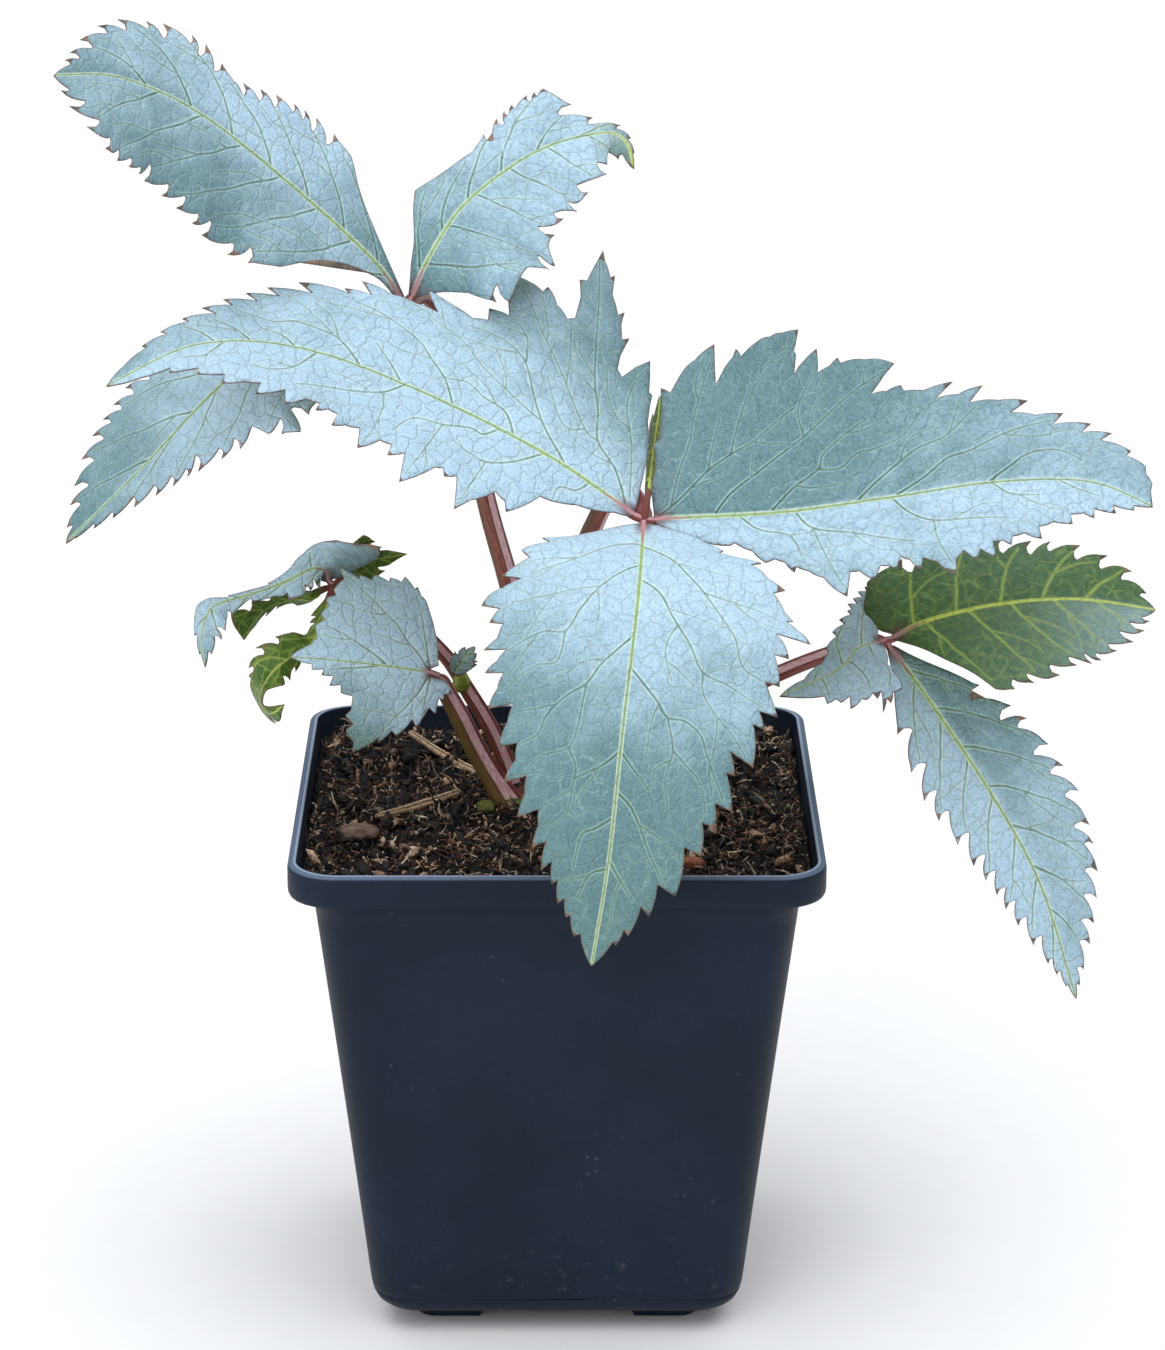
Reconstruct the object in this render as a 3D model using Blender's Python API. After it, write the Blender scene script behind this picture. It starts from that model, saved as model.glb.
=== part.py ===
"""Potted hellebore: a young plant with blue-green, saw-edged leaves in a square nursery pot.

Real size, in metres, +Z up.  The origin is the centre of the pot's underside.
Lengths below are written in millimetres and scaled once, when a mesh is made.
Run it with: blender --background --python part.py
"""
import math
import random

import bmesh
import bpy
import numpy as np
from mathutils import Vector, geometry

for old in list(bpy.data.objects):
    bpy.data.objects.remove(old, do_unlink=True)

MM = 0.001
CLEARANCE = 0.3            # gap kept between pieces that touch

# ---------------------------------------------------------------- pot and soil
POT_HEIGHT = 130.0
RIM_HALF = 65.0            # half the width across the rim
RIM_BAND = 8.2             # height of the rim's outer band
RIM_RADIUS = 12.0          # corner radius of the rim
WALL_TOP_HALF = 59.3       # outer half width just under the rim
WALL_FOOT_HALF = 46.8      # outer half width above the rounded lower edge
WALL_RADIUS = 10.5
WALL = 1.5                 # wall thickness
FLOOR_UNDER = 3.0          # underside of the floor
FLOOR_TOP = 4.9
FOOT_IN = 18.7             # the feet run round the corners from here, off each side's middle
SKIRT_LIFT = 1.8           # the base edge is this far off the ground between the feet
CENTRE_PAD_RADIUS = 9.0    # the flat pad under the floor's centre
DRAIN_RADIUS = 2.4
DRAIN_OFFSET = 27.0
SOIL_TOP = 117.6
SOIL_MOUND = 1.9           # the soil rises this much around the crown

# ---------------------------------------------------------------- crown
CROWN_CENTRE = (-4.0, 21.0, 117.5)
CROWN_RADII = (15.0, 11.5, 5.4)

# ---------------------------------------------------------------- leaf stalks
# each: a path from the crown up to the leaf's hub, radii along it
STALKS = {
    "main_leaf_petiole": (
        [(-3, 17, 118.5), (0, 13, 150), (6, 7, 186), (10, 4, 199), (14, 0, 207), (18, -9, 210.5),
         (20.5, -19, 208.6), (21, -24, 207)],
        (3.2, 2.8, 2.5, 2.1)),
    "top_leaf_petiole": (
        [(-2, 27, 118.5), (-6, 22, 150), (-12, 16, 178), (-18, 14, 202), (-24, 20, 232), (-29, 20, 247),
         (-33, 17, 252.6), (-37, 10, 251.5)],
        (3.1, 2.7, 2.3, 1.9)),
    "right_leaf_petiole": (
        [(5, 21, 118.5), (20, 16, 135), (38, 11, 147), (56, 6, 158), (70, 2, 165), (81.5, -6, 170.5)],
        (2.6, 2.3, 2.0, 1.8)),
    "low_leaf_petiole": (
        [(-12, 17, 118.5), (-20, 13, 134), (-25, 7, 147), (-30, .9, 158.9)],
        (3.0, 2.8, 2.6, 2.1)),
    "small_leaf_petiole": (
        [(-9.5, 24.5, 118.5), (-16, 27, 134), (-23, 26, 147), (-29, 25, 157), (-41, 24, 169), (-51, 22, 175),
         (-56.5, 19, 177)],
        (2.3, 2.1, 1.8, 1.6)),
}

# ---------------------------------------------------------------- leaflets
# A leaflet is drawn flat, with x along its midrib and y across it, and is then bent.
# midrib: points in space from the hub to the tip
# face:   the way its upper side looks, at the base and at the tip
# fold:   how far the left and right halves rise off flat, in degrees
# curl:   how much further they rise for each centimetre off the midrib, in degrees
# left, right: the margin from base to tip as runs of (teeth, points along the tooth tips)
LEAFLETS = {
    "main_leaflet_left": dict(
        midrib=[(18.5, -24, 208.5), (-3, -22, 223), (-33, -20, 238), (-61, -22, 249), (-85, -30, 252),
                (-106, -42, 245)],
        face=[(0, -.6, .8), (0, -.5, .85)], fold=(5, 5), curl=(-3, -3),
        left=[(0, [(0, 1), (5, 3), (12, 8), (20, 11)]), (1, [(20, 11), (25, 15), (28, 20)]),
              (2, [(28, 20), (32, 17), (43, 26)]), (2, [(43, 26), (50, 25), (59, 28)]),
              (10, [(59, 28), (64, 24), (79, 20), (97, 20), (116, 14), (141, 0)])],
        right=[(0, [(0, 1), (5, 16), (10, 27)]), (1, [(10, 27), (11.5, 32), (16, 42.5)]),
               (0, [(16, 42.5), (17, 37), (19, 32)]), (1, [(19, 32), (20, 40), (23, 46.5)]),
               (3, [(23, 46.5), (25, 53), (30, 60), (36, 66)]),
               (0, [(36, 66), (35.5, 58), (35.5, 52)]), (1, [(35.5, 52), (35, 46), (34, 39)]),
               (2, [(34, 39), (41, 43), (54, 48)]),
               (0, [(54, 48), (50, 42), (47.5, 33)]), (1, [(47.5, 33), (50, 32), (54, 30)]),
               (12, [(54, 30), (66, 30), (80, 25), (92, 21), (111, 12), (126, 7), (141, 0)])]),
    "main_leaflet_right": dict(
        midrib=[(23.4, -24.2, 207.2), (54, -28, 210), (82, -28, 214), (106, -26, 217), (128, -26, 217),
                (143, -30, 212)],
        face=[(0, -.55, .8), (0, -.5, .85)], fold=(18, 2), curl=(0, -5),
        left=[(0, [(0, 1), (-.5, 8), (.5, 14), (0, 19)]), (1, [(0, 19), (2, 25), (2.5, 33.5)]),
              (3, [(2.5, 33.5), (6.5, 38), (10, 42), (14, 46)]),
              (0, [(14, 46), (14, 40), (14.5, 36)]), (1, [(14.5, 36), (17, 41), (21, 44)]),
              (1, [(21, 44), (31, 45), (40, 48)]), (0, [(40, 48), (38, 36)]),
              (1, [(38, 36), (45, 41)]), (2, [(45, 41), (52, 36), (64, 34)]), (0, [(64, 34), (61, 28)]),
              (12, [(61, 28), (72, 27), (80, 25), (93, 19), (107, 11), (121, 0)])],
        right=[(0, [(0, 1), (8, 5), (18, 9)]), (4, [(18, 9), (26, 15), (34, 20), (42, 27)]),
               (11, [(42, 27), (50, 25), (66, 26), (80, 24), (92, 19), (108, 12), (121, 0)])]),
    "main_leaflet_front": dict(
        midrib=[(20.9, -25.7, 206.5), (19, -58, 197), (15, -84, 172), (12, -94, 146), (8, -96, 120)],
        face=[(0, -.45, 1), (0, -1, .25)], fold=(4, 4), curl=(-3, -3),
        left=[(0, [(0, 1), (4, 8), (11, 17)]), (4, [(11, 17), (18, 29), (30, 36), (40, 40)]),
              (12, [(40, 40), (47, 35), (60, 34), (72, 31), (82, 27), (103, 16), (123, 0)])],
        right=[(0, [(0, 1), (2, 6), (7, 18)]),
               (18, [(7, 18), (12, 27), (23, 33), (37, 36), (50, 34), (64, 32), (81, 26), (98, 17), (110, 9),
                     (123, 0)])]),
    "main_leaflet_back": dict(
        midrib=[(21.8, -22.3, 211.4), (22.6, -15, 215), (23.4, -8, 220), (24.6, 0, 225), (25.4, 6, 230)],
        face=[(0, .75, -.65), (0, .75, -.65)], fold=(66, 66), curl=(0, 0),
        left=[(0, [(0, 1), (6, 2.2), (14, 3)]), (4, [(14, 3), (22, 6), (28, 5), (34, 0)])],
        right=[(0, [(0, 1), (6, 2.2), (14, 3)]), (4, [(14, 3), (22, 6), (28, 5), (34, 0)])]),
    "top_leaflet_left": dict(
        midrib=[(-38.1, 9.6, 253.4), (-45, 7, 264), (-63, 0, 283), (-85, -8, 303), (-103, -15, 313),
                (-118, -22, 315)],
        face=[(.2, -.75, .65), (.1, -.8, .6)], fold=(8, 8), curl=(-4, -4),
        left=[(0, [(0, 1), (10, 3), (24, 10), (34, 20)]),
              (15, [(34, 20), (44, 25), (58, 26), (72, 24), (86, 23), (98, 20), (105, 10), (108, 0)])],
        right=[(0, [(0, 1), (10, 3), (24, 10), (32, 16)]), (5, [(32, 16), (42, 18), (53, 16), (66, 12)]),
               (7, [(66, 12), (76, 16), (86, 16), (95, 13), (108, 0)])]),
    "top_leaflet_right": dict(
        midrib=[(-35.6, 10.6, 254), (-31, 12, 264), (-22, 18, 276), (-5, 25, 287), (11, 28, 291),
                (17, 27, 289), (19, 23, 283)],
        face=[(-.2, -.8, .6), (-.2, -.8, .6)], fold=(8, 8), curl=(-2, -2),
        left=[(0, [(0, 1), (6, 3), (13, 6), (22, 12)]), (0, [(22, 12), (28, 10), (36, 9)]),
              (4, [(36, 9), (46, 13), (55, 15)]), (3, [(55, 15), (62, 5), (70, 2), (79, 0)])],
        right=[(0, [(0, 1), (4, 7), (7, 14)]), (2, [(7, 14), (8, 20), (10, 25)]), (1, [(10, 25), (19, 25)]),
               (2, [(19, 25), (24, 28), (29, 31)]),
               (8, [(29, 31), (34, 24), (42, 21), (50, 20), (60, 14), (70, 8), (79, 0)])]),
    "top_leaflet_drooping": dict(
        midrib=[(-39, 9.2, 251), (-51, 4, 250), (-65, 0, 244), (-80, -4, 237), (-104, -10, 213),
                (-120, -14, 198)],
        face=[(-.3, -.6, .75), (-.5, -.7, .5)], fold=(3, 3), curl=(-2, -2),
        left=[(0, [(0, 1), (10, 8), (24, 15)]), (2, [(24, 15), (32, 21), (37, 27)]),
              (2, [(37, 27), (42, 25), (48, 21)]), (0, [(48, 21), (50, 16)]),
              (11, [(50, 16), (57, 18), (72, 12), (84, 7), (104, 0)])],
        right=[(0, [(0, 1), (10, 8), (24, 15)]),
               (14, [(24, 15), (44, 20), (60, 21), (74, 20), (86, 15), (97, 7), (104, 0)])]),
    "right_leaflet_outer": dict(
        midrib=[(83.4, -5.6, 171.2), (92, -4, 175), (110, 0, 178), (130, 4, 178), (150, 8, 174)],
        face=[(0, -.6, .8), (0, -.6, .8)], fold=(10, 10), curl=(-2, -2),
        left=[(0, [(0, 1), (1, 8), (5, 15)]),
              (11, [(5, 15), (18, 19), (38, 17), (54, 14), (63, 9), (69, 0)])],
        right=[(0, [(0, 1), (5, 8), (11, 17), (18, 26)]),
               (11, [(18, 26), (26, 28), (36, 25), (50, 20), (61, 12), (69, 0)])]),
    "right_leaflet_lower": dict(
        midrib=[(82.6, -6.7, 168.9), (92, -12, 157), (107, -16, 135), (120, -20, 112), (130, -24, 82)],
        face=[(.2, -.9, .4), (.2, -.95, .2)], fold=(5, 5), curl=(-3, -3),
        left=[(0, [(0, 1), (6, 4), (14, 9)]),
              (15, [(14, 9), (24, 14), (36, 18), (52, 19), (64, 17), (80, 11), (100, 0)])],
        right=[(0, [(0, 1), (6, 4), (12, 8)]),
               (15, [(12, 8), (20, 12), (34, 15), (48, 14), (62, 12), (76, 9), (100, 0)])]),
    "right_leaflet_folded": dict(
        midrib=[(80, -7.5, 170.7), (74, -14, 171), (68, -23, 168), (54, -33, 165)],
        face=[(-.1, -.7, .7), (-.1, -.7, .7)], fold=(5, 5), curl=(-2, -2),
        left=[(0, [(0, 1), (0, 4), (-3, 9)]), (3, [(-3, 9), (0, 13), (6, 14)]),
              (3, [(6, 14), (14, 13), (24, 10)]), (0, [(24, 10), (29, 5), (35, 0)])],
        right=[(0, [(0, 1), (-4, 8), (-8, 16)]), (5, [(-8, 16), (4, 16), (16, 13), (24, 9)]),
               (0, [(24, 9), (29, 5), (35, 0)])]),
    "low_leaflet_broad": dict(
        midrib=[(-31.4, -2, 160.8), (-40.1, -5.9, 163.5), (-48.8, -8.9, 165.6), (-57.4, -10.9, 167.2),
                (-66.1, -12, 168.2)],
        face=[(0, -.85, .5), (0, -.85, .5)], fold=(0, 0), curl=(-2, -2),
        left=[(0, [(0, 1), (-4, 1.5), (-6, 4)]), (5, [(-6, 4), (-2, 10), (5, 15), (13, 20), (20, 23)]),
              (3, [(20, 23), (21, 17), (20.5, 9)]), (5, [(20.5, 9), (25, 5), (30, 1.8), (37, 0)])],
        right=[(0, [(0, 1), (-1, 7), (0, 13), (2, 19)]), (5, [(2, 19), (8, 23), (16, 23.5), (26, 24)]),
               (3, [(26, 24), (27, 16), (29, 9), (29.5, 5)]), (0, [(29.5, 5), (32, 2), (37, 0)])]),
    "small_leaflet_arched": dict(
        midrib=[(-57.6, 18.4, 178.4), (-58.6, 17.3, 181.5), (-61.6, 14.8, 182.7), (-66.4, 11, 181.3),
                (-71.8, 8, 179.8), (-77.2, 5.5, 178.7), (-83, 3.2, 177.6), (-86.2, 1.6, 176.3),
                (-88, 0.5, 172.2), (-88.5, -0.5, 167.3), (-87.8, -1, 161.8)],
        face=[(0, -.8, .6), (-.5, -.8, .35)], fold=(-5, -5), curl=(-5, -5),
        left=[(0, [(0, 1), (2, 3), (5.5, 5.5)]), (0, [(5.5, 5.5), (5.8, 2.6)]),
              (3, [(5.8, 2.6), (10, 4.5), (14, 5.2)]), (2, [(14, 5.2), (18, 4.5), (20.5, 2.5)]),
              (3, [(20.5, 2.5), (28, 2.2), (35.5, 5)]), (4, [(35.5, 5), (44, 5.5), (53, 0)])],
        right=[(0, [(0, 1), (-.5, 4.5), (0, 8)]), (1, [(0, 8), (0, 12), (2, 15.5)]),
               (0, [(2, 15.5), (3.5, 9), (7.5, 5)]), (1, [(7.5, 5), (12.5, 3)]),
               (3, [(12.5, 3), (19, 1.6), (32, 1.4), (38.5, 4)]), (3, [(38.5, 4), (43, 2.8), (53, 0)])]),
    "small_leaflet_upper": dict(
        midrib=[(-54.8, 21.3, 178.7), (-51.2, 25.5, 181), (-46.2, 27.5, 181.7), (-38.1, 28, 182.7)],
        face=[(0, .9, .3), (0, .9, .3)], fold=(0, 0), curl=(0, 0),
        left=[(0, [(0, 1), (3, 3), (6, 5), (9, 7)]), (2, [(9, 7), (12, 5), (15, 2.2)]),
              (0, [(15, 2.2), (17, 1), (19, 0)])],
        right=[(0, [(0, 1), (4, 4.3), (8, 7.8)]), (3, [(8, 7.8), (10, 6.4), (13, 3), (15, 1.6)]),
               (0, [(15, 1.6), (17, .8), (19, 0)])]),
    "small_leaflet_curled": dict(
        midrib=[(-56.8, 17.6, 175.8), (-57.7, 13, 173), (-59.4, 9, 168.9), (-61.9, 6.5, 165.8),
                (-65.9, 4.5, 163.8), (-69.8, 2.5, 161), (-72.3, .5, 157.8), (-73.7, -1.5, 154.5),
                (-73.1, -3.5, 152), (-70.8, -6, 151.7), (-67.6, -8.5, 154.7)],
        face=[(.15, .95, .25), (.75, .3, .6)], fold=(0, 0), curl=(0, 0),
        left=[(0, [(0, 1), (3, 1.6), (6, 2.6)]), (3, [(6, 2.6), (9, 3.4), (13, 2.4)]),
              (0, [(13, 2.4), (16, 2.6), (19.5, 6)]), (5, [(19.5, 6), (24.5, 7), (29.5, 7.2), (34, 8.5)]),
              (2, [(34, 8.5), (38, 6.5), (42, 3)]), (0, [(42, 3), (44, 1.4), (47, 0)])],
        right=[(0, [(0, 1), (6, 2), (14, 3)]), (4, [(14, 3), (21, 4.2), (27.5, 4.6), (31, 6)]),
               (1, [(31, 6), (34, 3)]), (0, [(34, 3), (40, 2.6), (47, 0)])]),
    "small_leaflet_under": dict(
        midrib=[(-58.4, 19.7, 176.6), (-62.1, 18, 174.3), (-65.9, 17, 174.6), (-71.1, 15, 173.9),
                (-75.2, 12, 171.9), (-77.3, 9, 169.2), (-78.6, 7, 166.4)],
        face=[(.1, .55, .8), (-.3, .8, .4)], fold=(0, 0), curl=(0, 0),
        left=[(0, [(0, 1), (4, 4), (8, 4)]), (3, [(8, 4), (15, 3), (22, 6.5), (25, 8)]),
              (0, [(25, 8), (26.5, 4), (28, 0)])],
        right=[(0, [(0, 1), (3, 2), (7, 5.5)]), (3, [(7, 5.5), (10, 3), (16, 4), (22, 2.5)]),
               (0, [(22, 2.5), (25, 1), (28, 0)])]),
    "young_leaf_blade": dict(
        midrib=[(-26, 19.8, 152.9), (-24.9, 19, 155.4), (-23, 18.7, 158.3), (-20.8, 18.6, 161)],
        face=[(0, -.95, .3), (0, -.95, .3)], fold=(0, 0), curl=(0, 0),
        left=[(0, [(0, 1), (1, 2), (3, 2.8)]), (3, [(3, 2.8), (6, 2.8), (9, 0)])],
        right=[(0, [(0, 1), (2, 2.2), (4, 3)]), (4, [(4, 3), (6.5, 3.2), (9, 0)])]),
}

# the crown's other growth and what lies on the soil
YOUNG_SHEATH = dict(centre=(-24.5, 21.7, 150.3), radii=(2.3, 1.9, 2.8))
BASE_SHEATH = dict(centre=(-18.0, 10.2, 120.8), radii=(2.4, 2.0, 1.7))
DRY_STALK_LONG = dict(path=[(-16.5, 32, 120.4), (-28, 42, 122.6), (-39, 51, 127)], radii=(1.0, 1.2, 0.9))
DRY_STALK_SHORT = dict(path=[(-25.5, 22, 120.2), (-35, 12, 120.3), (-46, 3, 120.5)], radii=(1.1, 1.3, 0.8))
BARK_LEFT = dict(centre=(-51.0, -8.0, 120.1), radii=(5.4, 3.2, 2.2))
BARK_FRONT = dict(centre=(33.0, -27.0, 119.6), radii=(3.6, 2.2, 1.7))

# ---------------------------------------------------------------- leaf meshing
BLADE = 0.8                # thickness of a leaf blade
TOOTH_DEPTH = 0.42         # depth of a tooth, as a share of its pitch
TOOTH_DEEPEST = 2.6
GRID = 9.0                 # widest spacing of the mesh points inside a blade
GRID_STEPS = 9             # a short leaflet still has this many steps along it


def unit(v):
    return v / np.linalg.norm(v, axis=-1, keepdims=True)


def smooth_path(points, steps):
    """A smooth curve through the points, with the given number of steps between each two."""
    p = np.asarray(points, float)
    ends = np.vstack([2 * p[0] - p[1], p, 2 * p[-1] - p[-2]])
    out = []
    for i in range(len(p) - 1):
        a, b, c, d = ends[i:i + 4]
        t = np.linspace(0, 1, steps, endpoint=False)[:, None]
        out.append(0.5 * (2 * b + (c - a) * t + (2 * a - 5 * b + 4 * c - d) * t ** 2
                          + (3 * b - a - 3 * c + d) * t ** 3))
    return np.vstack(out + [p[-1:]])


def travelled(points):
    return np.concatenate([[0], np.cumsum(np.linalg.norm(np.diff(points, axis=0), axis=1))])


class BentSheet:
    """Bends a flat leaflet onto its midrib."""

    def __init__(self, midrib, face, fold, curl):
        dense = smooth_path(midrib, 24)
        at = travelled(dense)
        self.length = at[-1]
        self.at = np.linspace(0, self.length, 60)
        self.mid = self.spread(dense, at)
        self.along = unit(np.gradient(self.mid, self.at, axis=0))
        t = (self.at / self.length)[:, None]
        base, tip = unit(np.array(face, float))
        up = base * (1 - t) + tip * t
        self.up = unit(up - self.along * (up * self.along).sum(1, keepdims=True))
        self.left = np.cross(self.up, self.along)
        self.fold = np.radians(fold)
        self.curl = np.radians(curl) / 10

    def spread(self, values, at):
        return np.stack([np.interp(self.at, at, values[:, k]) for k in range(3)], 1)

    def along_midrib(self, values, x):
        return np.stack([np.interp(x, self.at, values[:, k]) for k in range(3)], -1)

    def place(self, x, y):
        """Points in space and the upper side's normals for flat points x, y."""
        inside = np.clip(x, 0, self.length)
        frames = (self.mid, self.along, self.up, self.left)
        mid, along, up, left = [self.along_midrib(v, inside) for v in frames]
        mid = mid + along * (x - inside)[:, None]
        side = np.where(y >= 0, 0, 1)
        sign = np.where(y >= 0, 1.0, -1.0)
        sign[np.abs(y) < 1e-6] = 0
        fold = self.fold[side]
        curl = np.where(np.abs(self.curl[side]) < 1e-6, 1e-6, self.curl[side])
        turned = fold + curl * np.abs(y)
        out = (np.sin(turned) - np.sin(fold)) / curl
        rise = (np.cos(fold) - np.cos(turned)) / curl
        point = mid + left * (sign * out)[:, None] + up * rise[:, None]
        normal = unit(up * np.cos(turned)[:, None] - left * (sign * np.sin(turned))[:, None])
        return point, normal


def margin(runs, rng):
    """One side's margin, base to tip, with forward-pointing teeth."""
    out = []
    for teeth, tips in runs:
        curve = smooth_path(tips, 12)
        if not teeth:
            keep = range(0, len(curve) - 1, 8)
            out += [tuple(curve[i]) for i in keep]
            continue
        at = travelled(curve)
        pitch = np.array([rng.uniform(0.75, 1.25) for _ in range(teeth)]) * np.linspace(1.2, 0.8, teeth)
        ends = np.concatenate([[0], np.cumsum(pitch)]) / pitch.sum() * at[-1]
        out.append(tuple(curve[0]))
        for a, b in zip(ends[:-1], ends[1:]):
            if b > ends[-2]:
                break
            here = np.array([np.interp(b, at, curve[:, k]) for k in (0, 1)])
            depth = min(TOOTH_DEPTH * (b - a), TOOTH_DEEPEST, 0.4 * here[1]) * rng.uniform(0.85, 1.15)
            back = np.array([np.interp(b - 0.5, at, curve[:, k]) for k in (0, 1)])
            step = unit(here - back)
            inward = np.array([step[1], -step[0]])
            out.append(tuple(here))
            out.append(tuple(here + inward * depth + step * 0.08 * depth))
    out.append(tuple(float(v) for v in runs[-1][1][-1]))
    return out


def blade_mesh(name, spec):
    """A leaflet as a thin closed solid."""
    rng = random.Random(name)
    sheet = BentSheet(spec["midrib"], spec["face"], spec["fold"], spec["curl"])
    left = margin(spec["left"], rng)
    right = margin(spec["right"], rng)
    scale = sheet.length / left[-1][0]
    loop = [(x * scale, y) for x, y in left] + [(x * scale, -y) for x, y in right[::-1][1:]]
    loop = np.array(loop)
    points = [Vector(p) for p in loop]
    edges = [(i, (i + 1) % len(loop)) for i in range(len(loop))]
    grid = min(GRID, sheet.length / GRID_STEPS)
    x = grid
    while x < sheet.length - 0.2 * grid:
        reach = int(70 / grid)
        for j in range(-reach, reach + 1):
            q = np.array([x + (grid / 2 if j % 2 else 0), j * grid * 0.87])
            if inside_loop(q, loop) and np.min(np.linalg.norm(loop - q, axis=1)) > grid * 0.45:
                points.append(Vector(q))
        x += grid
    flat, _, faces, _, _, _ = geometry.delaunay_2d_cdt(points, edges, [], 1, 1e-5)
    flat = np.array([tuple(p) for p in flat])
    place, normal = sheet.place(flat[:, 0], flat[:, 1])
    return two_sided(place, normal, faces, BLADE)


def inside_loop(q, loop):
    """True if the flat point q lies inside the closed outline."""
    a = loop
    b = np.roll(loop, -1, axis=0)
    cross = (a[:, 1] > q[1]) != (b[:, 1] > q[1])
    with np.errstate(divide="ignore", invalid="ignore"):
        at = a[:, 0] + (q[1] - a[:, 1]) / (b[:, 1] - a[:, 1]) * (b[:, 0] - a[:, 0])
    return bool(np.count_nonzero(cross & (q[0] < at)) % 2)


def two_sided(place, normal, faces, thickness):
    """Vertices and faces of a sheet given its thickness, closed all round."""
    n = len(place)
    verts = np.vstack([place + normal * thickness / 2, place - normal * thickness / 2])
    top = []
    for f in faces:
        top.append(tuple(f))
    used = {}
    for f in top:
        for i in range(len(f)):
            used[(f[i], f[(i + 1) % len(f)])] = True
    rim = [(a, b) for a, b in used if (b, a) not in used]
    solid = list(top)
    solid += [tuple(v + n for v in reversed(f)) for f in top]
    solid += [(b, a, a + n, b + n) for a, b in rim]
    return verts, solid


# ---------------------------------------------------------------- other meshing
def swept(path, radii, sides=10, pieces=4, rows=None, extra=0.0):
    """A tube along a smooth path, closed at both ends.

    With rows it is only the first part of that tube, and extra makes it fatter and deeper.
    """
    line = smooth_path(path, pieces)
    at = travelled(line)
    radius = np.interp(at, np.linspace(0, at[-1], len(radii)), radii) + extra
    along = unit(np.gradient(line, at, axis=0))
    line[0] -= along[0] * extra
    line, along, radius = line[:rows], along[:rows], radius[:rows]
    across = unit(np.cross(along[0], (0.3, 1, 0.1)))
    verts = []
    for centre, direction, r in zip(line, along, radius):
        across = unit(across - direction * (across @ direction))
        other = np.cross(direction, across)
        for k in range(sides):
            a = 2 * math.pi * k / sides
            verts.append(centre + r * (math.cos(a) * across + math.sin(a) * other))
    if rows is None:
        beyond = along[-1] * radius[-1] * 0.75
        verts += [line[-1] + beyond + (v - line[-1]) * 0.55 for v in verts[-sides:]]
    rows = len(verts) // sides
    faces = []
    for i in range(rows - 1):
        for k in range(sides):
            m = (k + 1) % sides
            faces.append((i * sides + k, i * sides + m, (i + 1) * sides + m, (i + 1) * sides + k))
    faces.append(tuple(reversed(range(sides))))
    faces.append(tuple((rows - 1) * sides + k for k in range(sides)))
    return np.array(verts), faces


def ball(centre, radii, rows=7, sides=12, seed=0, rough=0.0):
    """A round or lumpy body."""
    rng = random.Random(seed)
    verts = [(0, 0, -1)]
    for i in range(1, rows):
        lat = math.pi * (i / rows - 0.5)
        for k in range(sides):
            lon = 2 * math.pi * k / sides
            r = 1 + rough * rng.uniform(-1, 1)
            across = r * math.cos(lat)
            verts.append((across * math.cos(lon), across * math.sin(lon), math.sin(lat)))
    verts.append((0, 0, 1))
    faces = [(0, 1 + (k + 1) % sides, 1 + k) for k in range(sides)]
    for i in range(rows - 2):
        a = 1 + i * sides
        for k in range(sides):
            m = (k + 1) % sides
            faces.append((a + k, a + m, a + sides + m, a + sides + k))
    a = 1 + (rows - 2) * sides
    faces += [(a + k, a + (k + 1) % sides, len(verts) - 1) for k in range(sides)]
    return np.array(verts) * np.array(radii) + np.array(centre), faces


def rounded_square(half, radius, corner_steps=6):
    """Points round a rounded square, with extra ones where the feet begin."""
    ends = [1.0 + FOOT_IN, FOOT_IN]
    side = [-t for t in ends] + ends[::-1]
    shrink = min(1.0, (half - radius) * 0.9 / ends[0])
    side = [t * shrink for t in side]
    ring = []
    for turn in range(4):
        a = math.pi / 2 * turn
        c, s = math.cos(a), math.sin(a)
        local = [(half, t) for t in side]
        for k in range(corner_steps + 1):
            b = math.pi / 2 * k / corner_steps
            local.append((half - radius + radius * math.cos(b), half - radius + radius * math.sin(b)))
        ring += [(c * x - s * y, s * x + c * y) for x, y in local]
    return ring


def stacked(rings):
    """A closed body from stacked rings of the same point count."""
    n = len(rings[0])
    verts = [p for ring in rings for p in ring]
    faces = []
    for i in range(len(rings) - 1):
        for k in range(n):
            m = (k + 1) % n
            faces.append((i * n + k, i * n + m, (i + 1) * n + m, (i + 1) * n + k))
    faces.append(tuple(reversed(range(n))))
    faces.append(tuple((len(rings) - 1) * n + k for k in range(n)))
    return np.array(verts), faces


def make(name, shape, colour, roughness, smooth=True):
    """An object in the scene from vertices in millimetres."""
    verts, faces = shape
    mesh = bpy.data.meshes.new(name)
    corners = [tuple(float(c) * MM for c in v) for v in verts]
    mesh.from_pydata(corners, [], [tuple(int(i) for i in f) for f in faces])
    body = bmesh.new()
    body.from_mesh(mesh)
    bmesh.ops.recalc_face_normals(body, faces=body.faces)
    bmesh.ops.triangulate(body, faces=[f for f in body.faces if len(f.verts) > 4])
    body.to_mesh(mesh)
    body.free()
    for face in mesh.polygons:
        face.use_smooth = smooth
    obj = bpy.data.objects.new(name, mesh)
    bpy.context.scene.collection.objects.link(obj)
    material = bpy.data.materials.new(name)
    material.use_nodes = True
    shader = material.node_tree.nodes["Principled BSDF"]
    shader.inputs["Base Color"].default_value = (*colour, 1)
    shader.inputs["Roughness"].default_value = roughness
    mesh.materials.append(material)
    return obj


def combine(obj, name, shape, operation):
    """Cuts a shape out of an object, or joins it on."""
    tool = make(name, shape, (0.5, 0.5, 0.5), 0.5, smooth=False)
    tool.hide_render = True
    tool.display_type = "WIRE"
    step = obj.modifiers.new(name, "BOOLEAN")
    step.operation = operation
    step.solver = "EXACT"
    step.object = tool


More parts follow.
